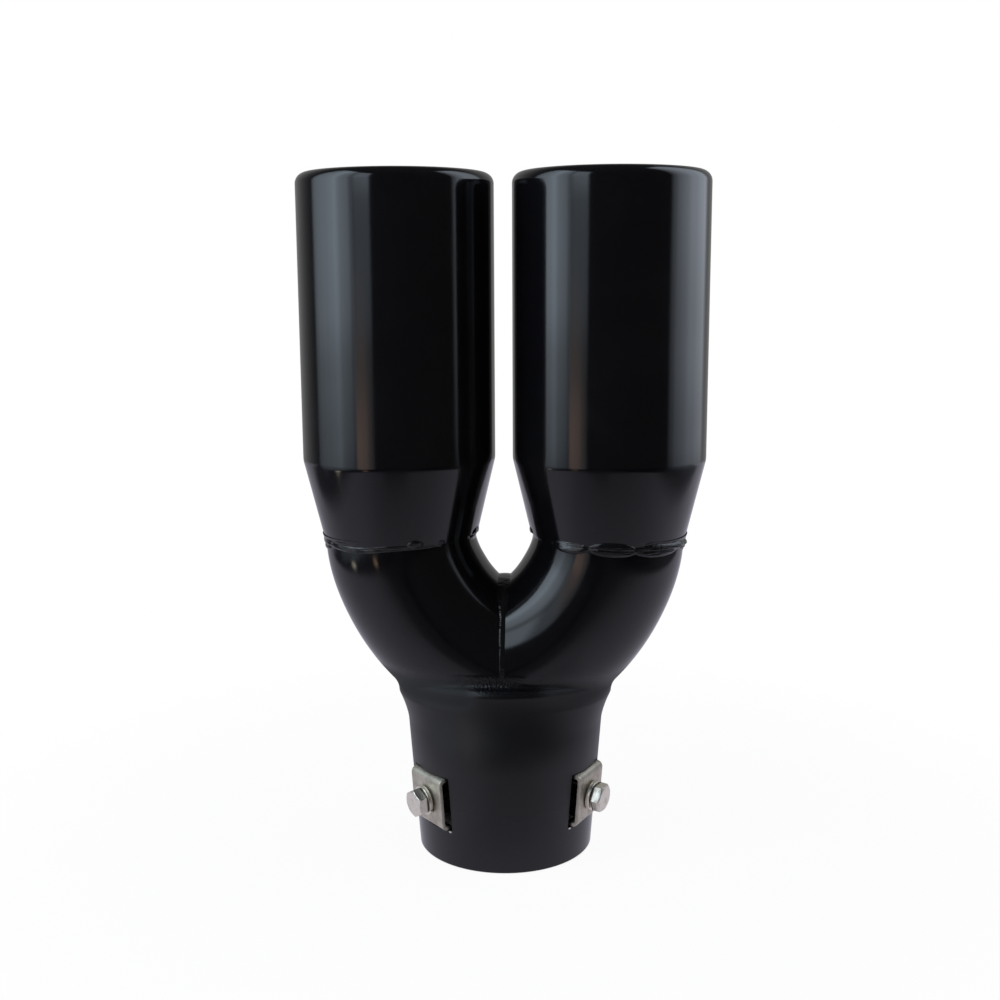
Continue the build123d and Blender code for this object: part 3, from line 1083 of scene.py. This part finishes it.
def clip_fold(clip, collar):
    """Middle line of a clip's folded sheet, as places up the wall and outward, with evenly rounded folds."""
    inner = collar_radius(collar, clip.height) - collar.wall
    sag = inner - math.sqrt(inner**2 - clip.width**2 / 4)
    leg = clip.tall / 2 - clip.sheet / 2
    web = clip.proud - clip.sheet / 2
    lip = -collar.wall - sag - clip.lip_clearance - clip.sheet / 2
    bend = clip.bend_radius
    half = [(leg + clip.lip, lip), (leg + clip.lip / 2 + bend / 2, lip)]
    half += arc((leg + bend, lip + bend), bend, -math.pi / 2, -math.pi, 8)
    half += arc((leg - bend, web - bend), bend, 0.0, math.pi / 2, 8)
    return half


def clip_path(clip, half, reach, block):
    """Middle line over a whole clip, its outward directions, and the row where the boss's block starts."""
    web = clip.proud - clip.sheet / 2
    lead = [(y, web) for y in np.linspace(half[-1][0], reach, 4)[1:-1]]
    middle = [(y, web) for y in np.linspace(reach, -reach, block + 1)]
    path = np.array(half + lead + middle + [(-y, z) for y, z in (half + lead)[::-1]])
    first_row = len(half) + len(lead)
    ahead = np.gradient(path, axis=0)
    ahead /= np.linalg.norm(ahead, axis=1)[:, None]
    normal = np.stack([ahead[:, 1], -ahead[:, 0]], axis=1)
    normal *= np.sign(normal[first_row + 2, 1])
    return path, normal, first_row


def clip_section(clip, reach, block):
    """Outline across the sheet, and the columns where the boss's block starts on its outer and inner face."""
    half_x, half_t, edge = clip.width / 2, clip.sheet / 2, clip.edge_round
    inside = np.linspace(-reach, reach, block + 1)
    outside = np.linspace(reach, half_x - edge, 5)[1:]
    across = np.concatenate([-outside[::-1], inside, outside])
    upper_right, lower_right, lower_left, upper_left = rounded_corners(half_x, half_t, edge)
    section = [(x, half_t) for x in across] + upper_right[1:] + lower_right
    low_first = len(section) - 1 + len(outside)
    section += [(x, -half_t) for x in across[::-1][1:]] + lower_left[1:] + upper_left[:-1]
    return section, len(outside), low_first


def block_rim(first_row, columns, block, cols):
    """Numbers of the points around the boss's block on one face, with its columns in the order given."""
    rows = list(range(first_row, first_row + block + 1))
    loop = [(rows[0], j) for j in columns[:-1]]
    loop += [(i, columns[-1]) for i in rows[:-1]]
    loop += [(rows[-1], j) for j in columns[:0:-1]]
    loop += [(i, columns[0]) for i in rows[:0:-1]]
    return [i * cols + j for i, j in loop]


def boss_rings(scene, chamfer=0.00025):
    """Radius and height of the rings down through the tapped hole and back up around the boss."""
    clip, bolt = scene.tip_clip, scene.tip_bolt
    hole, boss = bolt.radius + bolt.clearance, clip.boss_radius
    web = clip.proud - clip.sheet / 2
    top, low = web + clip.sheet / 2, web - clip.sheet / 2
    end = low - clip.boss_depth + clip.sheet / 2
    return [
        (hole + chamfer, top),
        (hole, top - chamfer),
        (hole, end + chamfer),
        (hole + chamfer, end),
        (boss - chamfer, end),
        (boss, end + chamfer),
        (boss, low - chamfer),
        (boss + chamfer, low),
    ]


def clip_mesh(scene, reach=0.0055, block=12):
    """Points and faces of one clip in its own frame: folded sheet with a tapped boss in its web.

    The boss grows out of a square block of cells, as many as block each way, that reaches from the middle.
    """
    clip = scene.tip_clip
    path, normal, first_row = clip_path(clip, clip_fold(clip, scene.tip_collar), reach, block)
    section, top_first, low_first = clip_section(clip, reach, block)
    rows, cols = len(path), len(section)
    points = []
    for (y, z), (ny, nz) in zip(path, normal):
        points += [(x, y + ny * t, z + nz * t) for x, t in section]

    def in_block(i, j):
        in_cols = top_first <= j < top_first + block or low_first <= j < low_first + block
        return in_cols and first_row <= i < first_row + block

    faces = grid_faces(rows, cols, False, True, in_block) + end_caps(rows, cols)
    top_cols = list(range(top_first, top_first + block + 1))
    low_cols = list(range(low_first, low_first + block + 1))[::-1]
    loops = [block_rim(first_row, top_cols, block, cols)]
    bearings = [math.atan2(points[k][1], points[k][0]) for k in loops[0]]
    for radius, z in boss_rings(scene):
        loops.append(list(range(len(points), len(points) + len(bearings))))
        points += [(radius * math.cos(turn), radius * math.sin(turn), z) for turn in bearings]
    loops.append(block_rim(first_row, low_cols, block, cols))
    for before, after in zip(loops[:-1], loops[1:]):
        for k in range(len(before)):
            following = (k + 1) % len(before)
            faces.append((before[k], before[following], after[following], after[k]))
    return np.array(points), faces


# Bolts and washers

def washer_height(bolt):
    """Height of a split washer whose ends are ground flat."""
    return bolt.washer_thickness + bolt.washer_rise - 2 * bolt.ground


def head_rings(bolt, seat, turn, edge=0.00018):
    """Radius and height of the rings over the hexagon head, from the middle of its top to its seat."""
    sixth = math.pi / 3
    hexagon = bolt.flats / 2 / np.cos((turn % sixth) - sixth / 2)
    flat = bolt.flats / 2 * bolt.crown
    slope = math.tan(bolt.chamfer)
    top = seat + bolt.head_height
    shoulder = top - (hexagon - flat) * slope
    rings = [(flat * share, top) for share in (0.02, 0.3, 0.6, 0.85)]
    return rings + [
        (flat - edge, top),
        (flat, top - 0.3 * edge),
        (flat + (hexagon - flat) * 0.5, top - (hexagon - flat) * 0.5 * slope),
        (hexagon - edge * 0.6, shoulder + edge * 0.3),
        (hexagon, shoulder - edge),
        (hexagon, (shoulder + seat) / 2),
        (hexagon, seat + edge),
        (hexagon - edge, seat),
    ]


def thread_rings(bolt, seat, turn, per_pitch):
    """Radius and height of the rings from the fillet under the head to the thread's end."""
    fillet, neck_in = 0.0004, 0.0001
    first_depth, fade_depth, fade_run = 0.0006, 0.0008, 0.0012
    rings = [(bolt.radius + fillet, seat), (bolt.radius - neck_in, seat - fillet)]
    end = seat - bolt.bolt_length
    count = int(round(bolt.bolt_length / bolt.pitch * per_pitch))
    for depth in np.linspace(first_depth, bolt.bolt_length, count):
        height = seat - depth
        phase = (height / bolt.pitch - turn / (2 * math.pi)) % 1.0
        groove = np.clip(1.25 * np.abs(2 * phase - 1) - 0.125, 0, 1)
        fade = float(ease((depth - fade_depth) / fade_run))
        radius = bolt.radius - bolt.thread_depth * groove * fade
        limit = bolt.radius - bolt.tip + max(0.0, height - end)
        rings.append((np.minimum(radius, limit), height))
    return rings + [((bolt.radius - bolt.tip) * share, end) for share in (0.6, 0.02)]


def bolt_mesh(scene, around=96, per_pitch=10):
    """Points and faces of one bolt in its own frame: chamfered hexagon head on a cut thread."""
    bolt = scene.tip_bolt
    seat = scene.tip_clip.proud + washer_height(bolt)
    turn = np.linspace(0, 2 * math.pi, around, endpoint=False)
    rows = []
    for radius, height in head_rings(bolt, seat, turn) + thread_rings(bolt, seat, turn, per_pitch):
        heights = np.broadcast_to(height, turn.shape)
        rows.append(np.stack([radius * np.cos(turn), radius * np.sin(turn), heights], axis=1))
    faces = grid_faces(len(rows), around, False, True) + end_caps(len(rows), around)
    return np.concatenate(rows), faces


def washer_mesh(scene, steps=120, edge=0.00022):
    """Points and faces of one split washer in its own frame, wound left-handed and ground flat."""
    bolt = scene.tip_bolt
    inner = bolt.radius + bolt.washer_clearance
    middle = (bolt.washer_radius + inner) / 2
    half_r, half_t = (bolt.washer_radius - inner) / 2, bolt.washer_thickness / 2
    section = sum(rounded_corners(half_r, half_t, edge), [])
    low = scene.tip_clip.proud
    high = low + washer_height(bolt)
    points = []
    for share in np.linspace(0, 1, steps):
        turn = -share * (2 * math.pi - bolt.gap)
        height = low + half_t - bolt.ground + bolt.washer_rise * share
        for across, lift in section:
            radius = middle + across
            level = min(max(height + lift, low), high)
            points.append((radius * math.cos(turn), radius * math.sin(turn), level))
    cols = len(section)
    return np.array(points), grid_faces(steps, cols, False, True) + end_caps(steps, cols)


# Stage

def floor_mesh(radius, rings=24, around=96):
    """Points and faces of the round table top."""
    points = [(0.0, 0.0, 0.0)]
    for ring in range(1, rings + 1):
        for turn in np.linspace(0, 2 * math.pi, around, endpoint=False):
            reach = radius * ring / rings
            points.append((reach * math.cos(turn), reach * math.sin(turn), 0.0))
    faces = []
    for j in range(around):
        beside = (j + 1) % around
        faces.append((0, 1 + j, 1 + beside))
        for ring in range(rings - 1):
            a, b = 1 + ring * around, 1 + (ring + 1) * around
            faces.append((a + j, b + j, b + beside, a + beside))
    return points, faces


def ray_kinds(finish):
    """Whether a ray comes from the camera, and whether it was mirrored or let through."""
    camera = finish.node("ShaderNodeLightPath", {}, {}, "Is Camera Ray")
    glossy = finish.node("ShaderNodeLightPath", {}, {}, "Is Glossy Ray")
    through = finish.node("ShaderNodeLightPath", {}, {}, "Is Transmission Ray")
    return camera, glossy + through


def table_level(finish, x, front):
    """Painted light and shade of the mirrored table: pale behind the object, dark in front and at the sides.
    """
    darkest, pale = 0.07, 0.5
    leftward = finish.step(0.0 - x, 0.1, 0.26)
    ahead = finish.step(front - 0.12 * leftward, -0.02, 0.43)
    # Painted shadow on the table just in front of the object
    near_shadow = finish.band(front, (0.02, 0.08), (0.12, 0.2))
    near_shadow = near_shadow * (1.0 - finish.step(square_off(x, 0.02), 0.0004, 0.0049))
    # Painted shadow further ahead, a little left of the middle
    wedge_shadow = finish.step(front, 0.225, 0.27)
    wedge_shadow = wedge_shadow * (1.0 - finish.step(square_off(x, -0.035), 0.0006, 0.008))
    level = darkest + pale * (1.0 - ahead) * (1.0 - 0.35 * near_shadow) * (1.0 - 0.75 * wedge_shadow)
    edge = finish.step(x * x + 0.21 * front, 0.105, 0.14)
    edge = edge * finish.step(front - 0.08 * leftward, -0.4, -0.22)
    return level * (1.0 - 0.15 * finish.step(0.0 - x, 0.1, 0.3)) * (1.0 - 0.85 * edge)


def pale_table(scene):
    """White to the camera, with the object's shadow kept, and glowing with painted light and shade where
    mirrored.
    """
    finish, place = new_finish("pale_table")
    camera, mirrored = ray_kinds(finish)
    x, y, _ = axes_of(finish, place)
    grain = finish.noise(place, scale=300.0, detail=3.0)
    tint = finish.blend(grain * 0.3, rgba(scene.tip_stage.floor), wear_and_shade["table_grain"])
    matt = {"Roughness": 1.0, "Specular IOR Level": 0.0}
    cloth = finish.node("ShaderNodeBsdfPrincipled", {}, {"Base Color": tint, **matt})
    # Where it is mirrored the table glows: its painted light and shade, and the painted warm glints
    shown = finish.blend(table_level(finish, x, 0.0 - y), black, (0.97, 0.95, 1.1, 1.0))
    for (spot_x, spot_y), colour_there in table_glints.items():
        away = square_off(x, spot_x) + square_off(y, spot_y)
        shown = finish.blend(1.0 - finish.step(away, 0.0001, 0.0012), shown, colour_there)
    shown = finish.blend(camera, shown, white)
    lit = {"Emission Color": shown, "Emission Strength": 1.0}
    glow = finish.node("ShaderNodeBsdfPrincipled", {}, {"Base Color": black, **matt, **lit})

    # Under the collar the table stays plain, and the camera sees the shadow fade out with distance
    away = x * x + y * y
    outside = finish.step(away, 0.00119, 0.00127)
    share = (camera * (0.95 + 0.05 * finish.step(away, 0.01, 0.08)) + mirrored) * outside
    mixed = finish.node("ShaderNodeMixShader", {}, {0: share, 1: cloth, 2: glow})
    finish.node("ShaderNodeOutputMaterial", {}, {"Surface": mixed})
    return finish.owner


def studio_world(scene):
    """White behind the object to the camera, and a dark room with a pale back where it is mirrored."""
    world = bpy.data.worlds.new("studio")
    scene.world = world
    finish = Finish(world)
    camera, mirrored = ray_kinds(finish)
    towards = finish.node("ShaderNodeTexCoord", {}, {}, "Generated")
    _, y, z = axes_of(finish, towards)
    back = finish.step(y, 0.1, 0.8) * (1.0 - finish.step(z, 0.5, 0.9))
    seen = finish.node("ShaderNodeBackground", {}, {"Color": white, "Strength": 1.0})
    dark = {"Color": (1.0, 0.98, 0.96, 1.0), "Strength": 0.04}
    room = finish.node("ShaderNodeBackground", {}, dark)
    share = camera + mirrored * back * 0.3
    mixed = finish.node("ShaderNodeMixShader", {}, {0: share, 1: room, 2: seen})
    finish.node("ShaderNodeOutputWorld", {}, {"Surface": mixed})


def studio_lamp(name, ends, heights, tint, level, across, upward):
    """A flat upright lamp facing the object, with soft edges and unseen by the camera.

    ends are its two ends on the floor plan, heights its lowest and highest edge. across holds places from
    0 at the first end to 1 at the second, upward holds heights, and each has its share of the level.
    """
    first, last = Vector((*ends[0], 0)), Vector((*ends[1], 0))
    wide, tall = (last - first).length, heights[1] - heights[0]
    along, up = (last - first).normalized(), Vector((0, 0, 1))
    facing = along.cross(up)
    if facing.dot(first + last) > 0:
        facing = -facing
    lamp = bpy.data.lights.new(name, "AREA")
    lamp.shape = "RECTANGLE"
    lamp.size = wide
    lamp.size_y = tall
    lamp.energy = math.pi * wide * tall
    finish = Finish(lamp)
    point = finish.node("ShaderNodeNewGeometry", {}, {}, "Position")
    rising = [((place - heights[0]) / tall, share) for place, share in upward]
    shares = []
    for axis, start, run, stops in ((along, along.dot(first), wide, across), (up, heights[0], tall, rising)):
        reach = finish.vector("DOT_PRODUCT", point, axis, "Value")
        shares.append(finish.node("ShaderNodeValToRGB", {"stops": stops}, {0: (reach - start) * (1 / run)}))
    shown = finish.blend(shares[0] * shares[1], black, rgba(tint))
    glow = finish.node("ShaderNodeEmission", {}, {"Color": shown, "Strength": level})
    finish.node("ShaderNodeOutputLight", {}, {"Surface": glow})
    obj = bpy.data.objects.new(name, lamp)
    bpy.context.scene.collection.objects.link(obj)
    obj.matrix_world = Matrix((up.cross(-facing), up, -facing)).transposed().to_4x4()
    obj.location = (first + last) / 2 + up * (heights[0] + tall / 2)
    obj.visible_camera = False


def overhead_lamp(height, size, level):
    """A broad lamp above that lights the table softly and isn't mirrored in the paint."""
    lamp = bpy.data.lights.new("overhead", "AREA")
    lamp.size = size
    lamp.energy = level * math.pi * size * size
    obj = bpy.data.objects.new("overhead", lamp)
    bpy.context.scene.collection.objects.link(obj)
    obj.location = (0.0, 0.0, height)
    obj.visible_camera = False
    obj.visible_glossy = False


def add_lamps():
    """The four lamps around the object and the one above it."""
    cool, pale, warm = (0.74, 0.87, 1.0), (0.78, 0.87, 1.0), (1.0, 0.66, 0.5)
    studio_lamp(
        "left_box",
        ends=((-0.41, 0.06), (-0.41, -0.45)),
        heights=(0.0, 0.9),
        tint=cool,
        level=3.9,
        across=(
            (0.0, 0.0), (0.08, 0.35), (0.15, 0.5), (0.27, 0.65), (0.39, 0.82), (0.49, 1.0), (0.61, 0.7),
            (0.77, 0.6), (0.9, 0.3), (1.0, 0.0),
        ),
        upward=(
            (0.0, 0.08), (0.06, 0.22), (0.125, 0.45), (0.165, 0.57), (0.215, 0.92), (0.25, 1.0), (0.8, 1.0),
            (0.9, 0.0),
        ),
    )
    studio_lamp(
        "left_far",
        ends=((-0.413, -0.415), (-0.311, -0.711)),
        heights=(0.0, 0.86),
        tint=cool,
        level=2.2,
        across=((0.0, 0.3), (0.15, 1.0), (0.85, 1.0), (1.0, 0.3)),
        upward=(
            (0.0, 0.15), (0.1, 0.1), (0.16, 0.15), (0.2, 0.34), (0.27, 0.42), (0.38, 1.0), (0.78, 1.0),
            (0.86, 0.0),
        ),
    )
    studio_lamp(
        "warm_strip",
        ends=((-0.424, -0.4), (-0.322, -0.7)),
        heights=(0.0, 0.26),
        tint=warm,
        level=1.25,
        across=((0.0, 0.0), (0.12, 1.0), (0.45, 0.8), (0.8, 0.25), (1.0, 0.0)),
        upward=((0.0, 0.6), (0.1, 1.0), (0.15, 0.5), (0.2, 0.2), (0.26, 0.0)),
    )
    studio_lamp(
        "right_box",
        ends=((0.22, -0.10), (0.22, 0.17)),
        heights=(0.0, 0.7),
        tint=pale,
        level=2.75,
        across=(
            (0.0, 0.0), (0.09, 0.34), (0.17, 0.66), (0.27, 0.81), (0.39, 1.0), (0.52, 0.84), (0.73, 0.64),
            (0.93, 0.07), (1.0, 0.0),
        ),
        upward=(
            (0.0, 0.0), (0.08, 0.02), (0.115, 0.12), (0.15, 0.52), (0.2, 0.75), (0.27, 1.0), (0.6, 1.0),
            (0.7, 0.0),
        ),
    )
    overhead_lamp(height=1.1, size=0.8, level=3.0)


def add_camera(scene):
    """Camera at the photograph's place and angle."""
    stage = scene.tip_stage
    level = math.cos(stage.pitch)
    forward = Vector(
        (-math.sin(stage.heading) * level, math.cos(stage.heading) * level, -math.sin(stage.pitch))
    )
    right = forward.cross(Vector((0, 0, 1))).normalized()
    up = right.cross(forward)
    up_rolled = up * math.cos(stage.roll) + right * math.sin(stage.roll)
    right_rolled = forward.cross(up_rolled)
    data = bpy.data.cameras.new("camera")
    data.lens = stage.focal
    data.sensor_width = 36.0
    data.clip_start = 0.01
    camera = bpy.data.objects.new("camera", data)
    camera.matrix_world = Matrix((right_rolled, up_rolled, -forward)).transposed().to_4x4()
    camera.location = stage.eye
    scene.collection.objects.link(camera)
    scene.camera = camera


# Operators

class TIP_OT_outlets(bpy.types.Operator):
    """Build the two outlet sleeves with their rolled lips"""

    bl_idname = "tip.outlets"
    bl_label = "Outlet sleeves"

    def execute(self, context):
        for name, side in sides.items():
            points, faces = outlet_mesh(context.scene, side)
            finish = tube_paint(context.scene)
            add_piece(f"sleeve_{name}", points, faces, finish, main_body, f"{name}_outlet")
        return {"FINISHED"}


class TIP_OT_elbows(bpy.types.Operator):
    """Build the two bent tubes"""

    bl_idname = "tip.elbows"
    bl_label = "Elbows"

    def execute(self, context):
        for name, side in sides.items():
            points, faces = elbow_mesh(context.scene, side)
            finish = tube_paint(context.scene)
            add_piece(f"bend_{name}", points, faces, finish, main_body, f"{name}_elbow")
        return {"FINISHED"}


class TIP_OT_collar(bpy.types.Operator):
    """Build the tapered collar with its clip windows"""

    bl_idname = "tip.collar"
    bl_label = "Inlet collar"

    def execute(self, context):
        points, faces = collar_mesh(context.scene)
        finish = tube_paint(context.scene)
        add_piece("collar_cup", points, faces, finish, main_body, "inlet_collar")
        return {"FINISHED"}


class TIP_OT_welds(bpy.types.Operator):
    """Build the weld beads around the outlets, along the mitre and around the collar"""

    bl_idname = "tip.welds"
    bl_label = "Welds"

    def execute(self, context):
        scene = context.scene
        for seed, (name, side) in enumerate(sides.items()):
            points, faces = outlet_weld_mesh(scene, name, side, 11 + seed)
            piece, node = f"bead_{name}", f"{name}_outlet_weld"
            finish = weld_paint(scene)
            add_piece(piece, points, faces, finish, main_body, node, crease=70.0)
        points, faces = seam_mesh(scene)
        add_piece("bead_mitre", points, faces, weld_paint(scene), main_body, "crotch_weld")
        points, faces = collar_weld_mesh(scene)
        add_piece("bead_collar", points, faces, tube_paint(scene), main_body, "collar_weld")
        return {"FINISHED"}


class TIP_OT_clips(bpy.types.Operator):
    """Build the three folded clips"""

    bl_idname = "tip.clips"
    bl_label = "Clips"

    def execute(self, context):
        scene = context.scene
        finish = clip_material(scene)
        points, faces = clip_mesh(scene)
        for name, bearing in clip_bearings(scene.tip_clip).items():
            placed = put(clip_place(scene, bearing), points)
            piece = f"sheet_{name}"
            add_piece(piece, placed, faces, finish, main_body, f"{name}_clip", local=points)
        return {"FINISHED"}


class TIP_OT_bolts(bpy.types.Operator):
    """Build the three clamp bolts and their split washers"""

    bl_idname = "tip.bolts"
    bl_label = "Clamp bolts"

    def execute(self, context):
        scene = context.scene
        finish = bolt_material(scene)
        bolt_points, bolt_faces = bolt_mesh(scene)
        ring_points, ring_faces = washer_mesh(scene)
        for name, bearing in clip_bearings(scene.tip_clip).items():
            place = clip_place(scene, bearing)
            placed = put(place @ spin(head_turns[name]), bolt_points)
            piece, body, node = f"hex_{name}", f"{name}_screw", f"{name}_bolt"
            add_piece(piece, placed, bolt_faces, finish, body, node, local=bolt_points)
            placed = put(place @ spin(washer_turns[name]), ring_points)
            piece, body, node = f"ring_{name}", f"{name}_washer", f"{name}_lock_washer"
            add_piece(piece, placed, ring_faces, finish, body, node, local=ring_points)
        return {"FINISHED"}


class TIP_OT_stage(bpy.types.Operator):
    """Set the table, the lamps and the camera"""

    bl_idname = "tip.stage"
    bl_label = "Stage"

    def execute(self, context):
        scene = context.scene
        points, faces = floor_mesh(scene.tip_stage.floor_radius)
        mesh = bpy.data.meshes.new("table")
        mesh.from_pydata(points, [], faces)
        mesh.materials.append(pale_table(scene))
        table = bpy.data.objects.new("table", mesh)
        scene.collection.objects.link(table)
        studio_world(scene)
        add_lamps()
        add_camera(scene)
        scene.view_settings.view_transform = "Standard"
        return {"FINISHED"}


class TIP_PT_panel(bpy.types.Panel):
    """Lists the steps and sizes in the 3D view's sidebar"""

    bl_idname = "TIP_PT_panel"
    bl_label = "Exhaust tip"
    bl_space_type = "VIEW_3D"
    bl_region_type = "UI"
    bl_category = "Exhaust tip"

    def draw(self, context):
        for step in steps:
            self.layout.operator(step.bl_idname)
        for name, group in groups.items():
            box = self.layout.box()
            box.label(text=group.__doc__)
            for key in group.__annotations__:
                box.prop(getattr(context.scene, name), key)


groups = {
    "tip_collar": CollarSizes,
    "tip_elbow": ElbowSizes,
    "tip_outlet": OutletSizes,
    "tip_weld": WeldSizes,
    "tip_clip": ClipSizes,
    "tip_bolt": BoltSizes,
    "tip_finish": Finishes,
    "tip_stage": StageSettings,
}
steps = (
    TIP_OT_outlets,
    TIP_OT_elbows,
    TIP_OT_collar,
    TIP_OT_welds,
    TIP_OT_clips,
    TIP_OT_bolts,
    TIP_OT_stage,
)


def register():
    """Registers the property groups, the steps and the panel."""
    for group in groups.values():
        bpy.utils.register_class(group)
    for name, group in groups.items():
        setattr(bpy.types.Scene, name, PointerProperty(type=group))
    for step in (*steps, TIP_PT_panel):
        bpy.utils.register_class(step)


def unregister():
    """Takes away what register added."""
    for step in (TIP_PT_panel, *reversed(steps)):
        bpy.utils.unregister_class(step)
    for name, group in groups.items():
        delattr(bpy.types.Scene, name)
        bpy.utils.unregister_class(group)


def main():
    """Builds the object and its stage."""
    register()
    bpy.ops.tip.outlets()
    bpy.ops.tip.elbows()
    bpy.ops.tip.collar()
    bpy.ops.tip.welds()
    bpy.ops.tip.clips()
    bpy.ops.tip.bolts()
    bpy.ops.tip.stage()


if __name__ == "__main__":
    main()
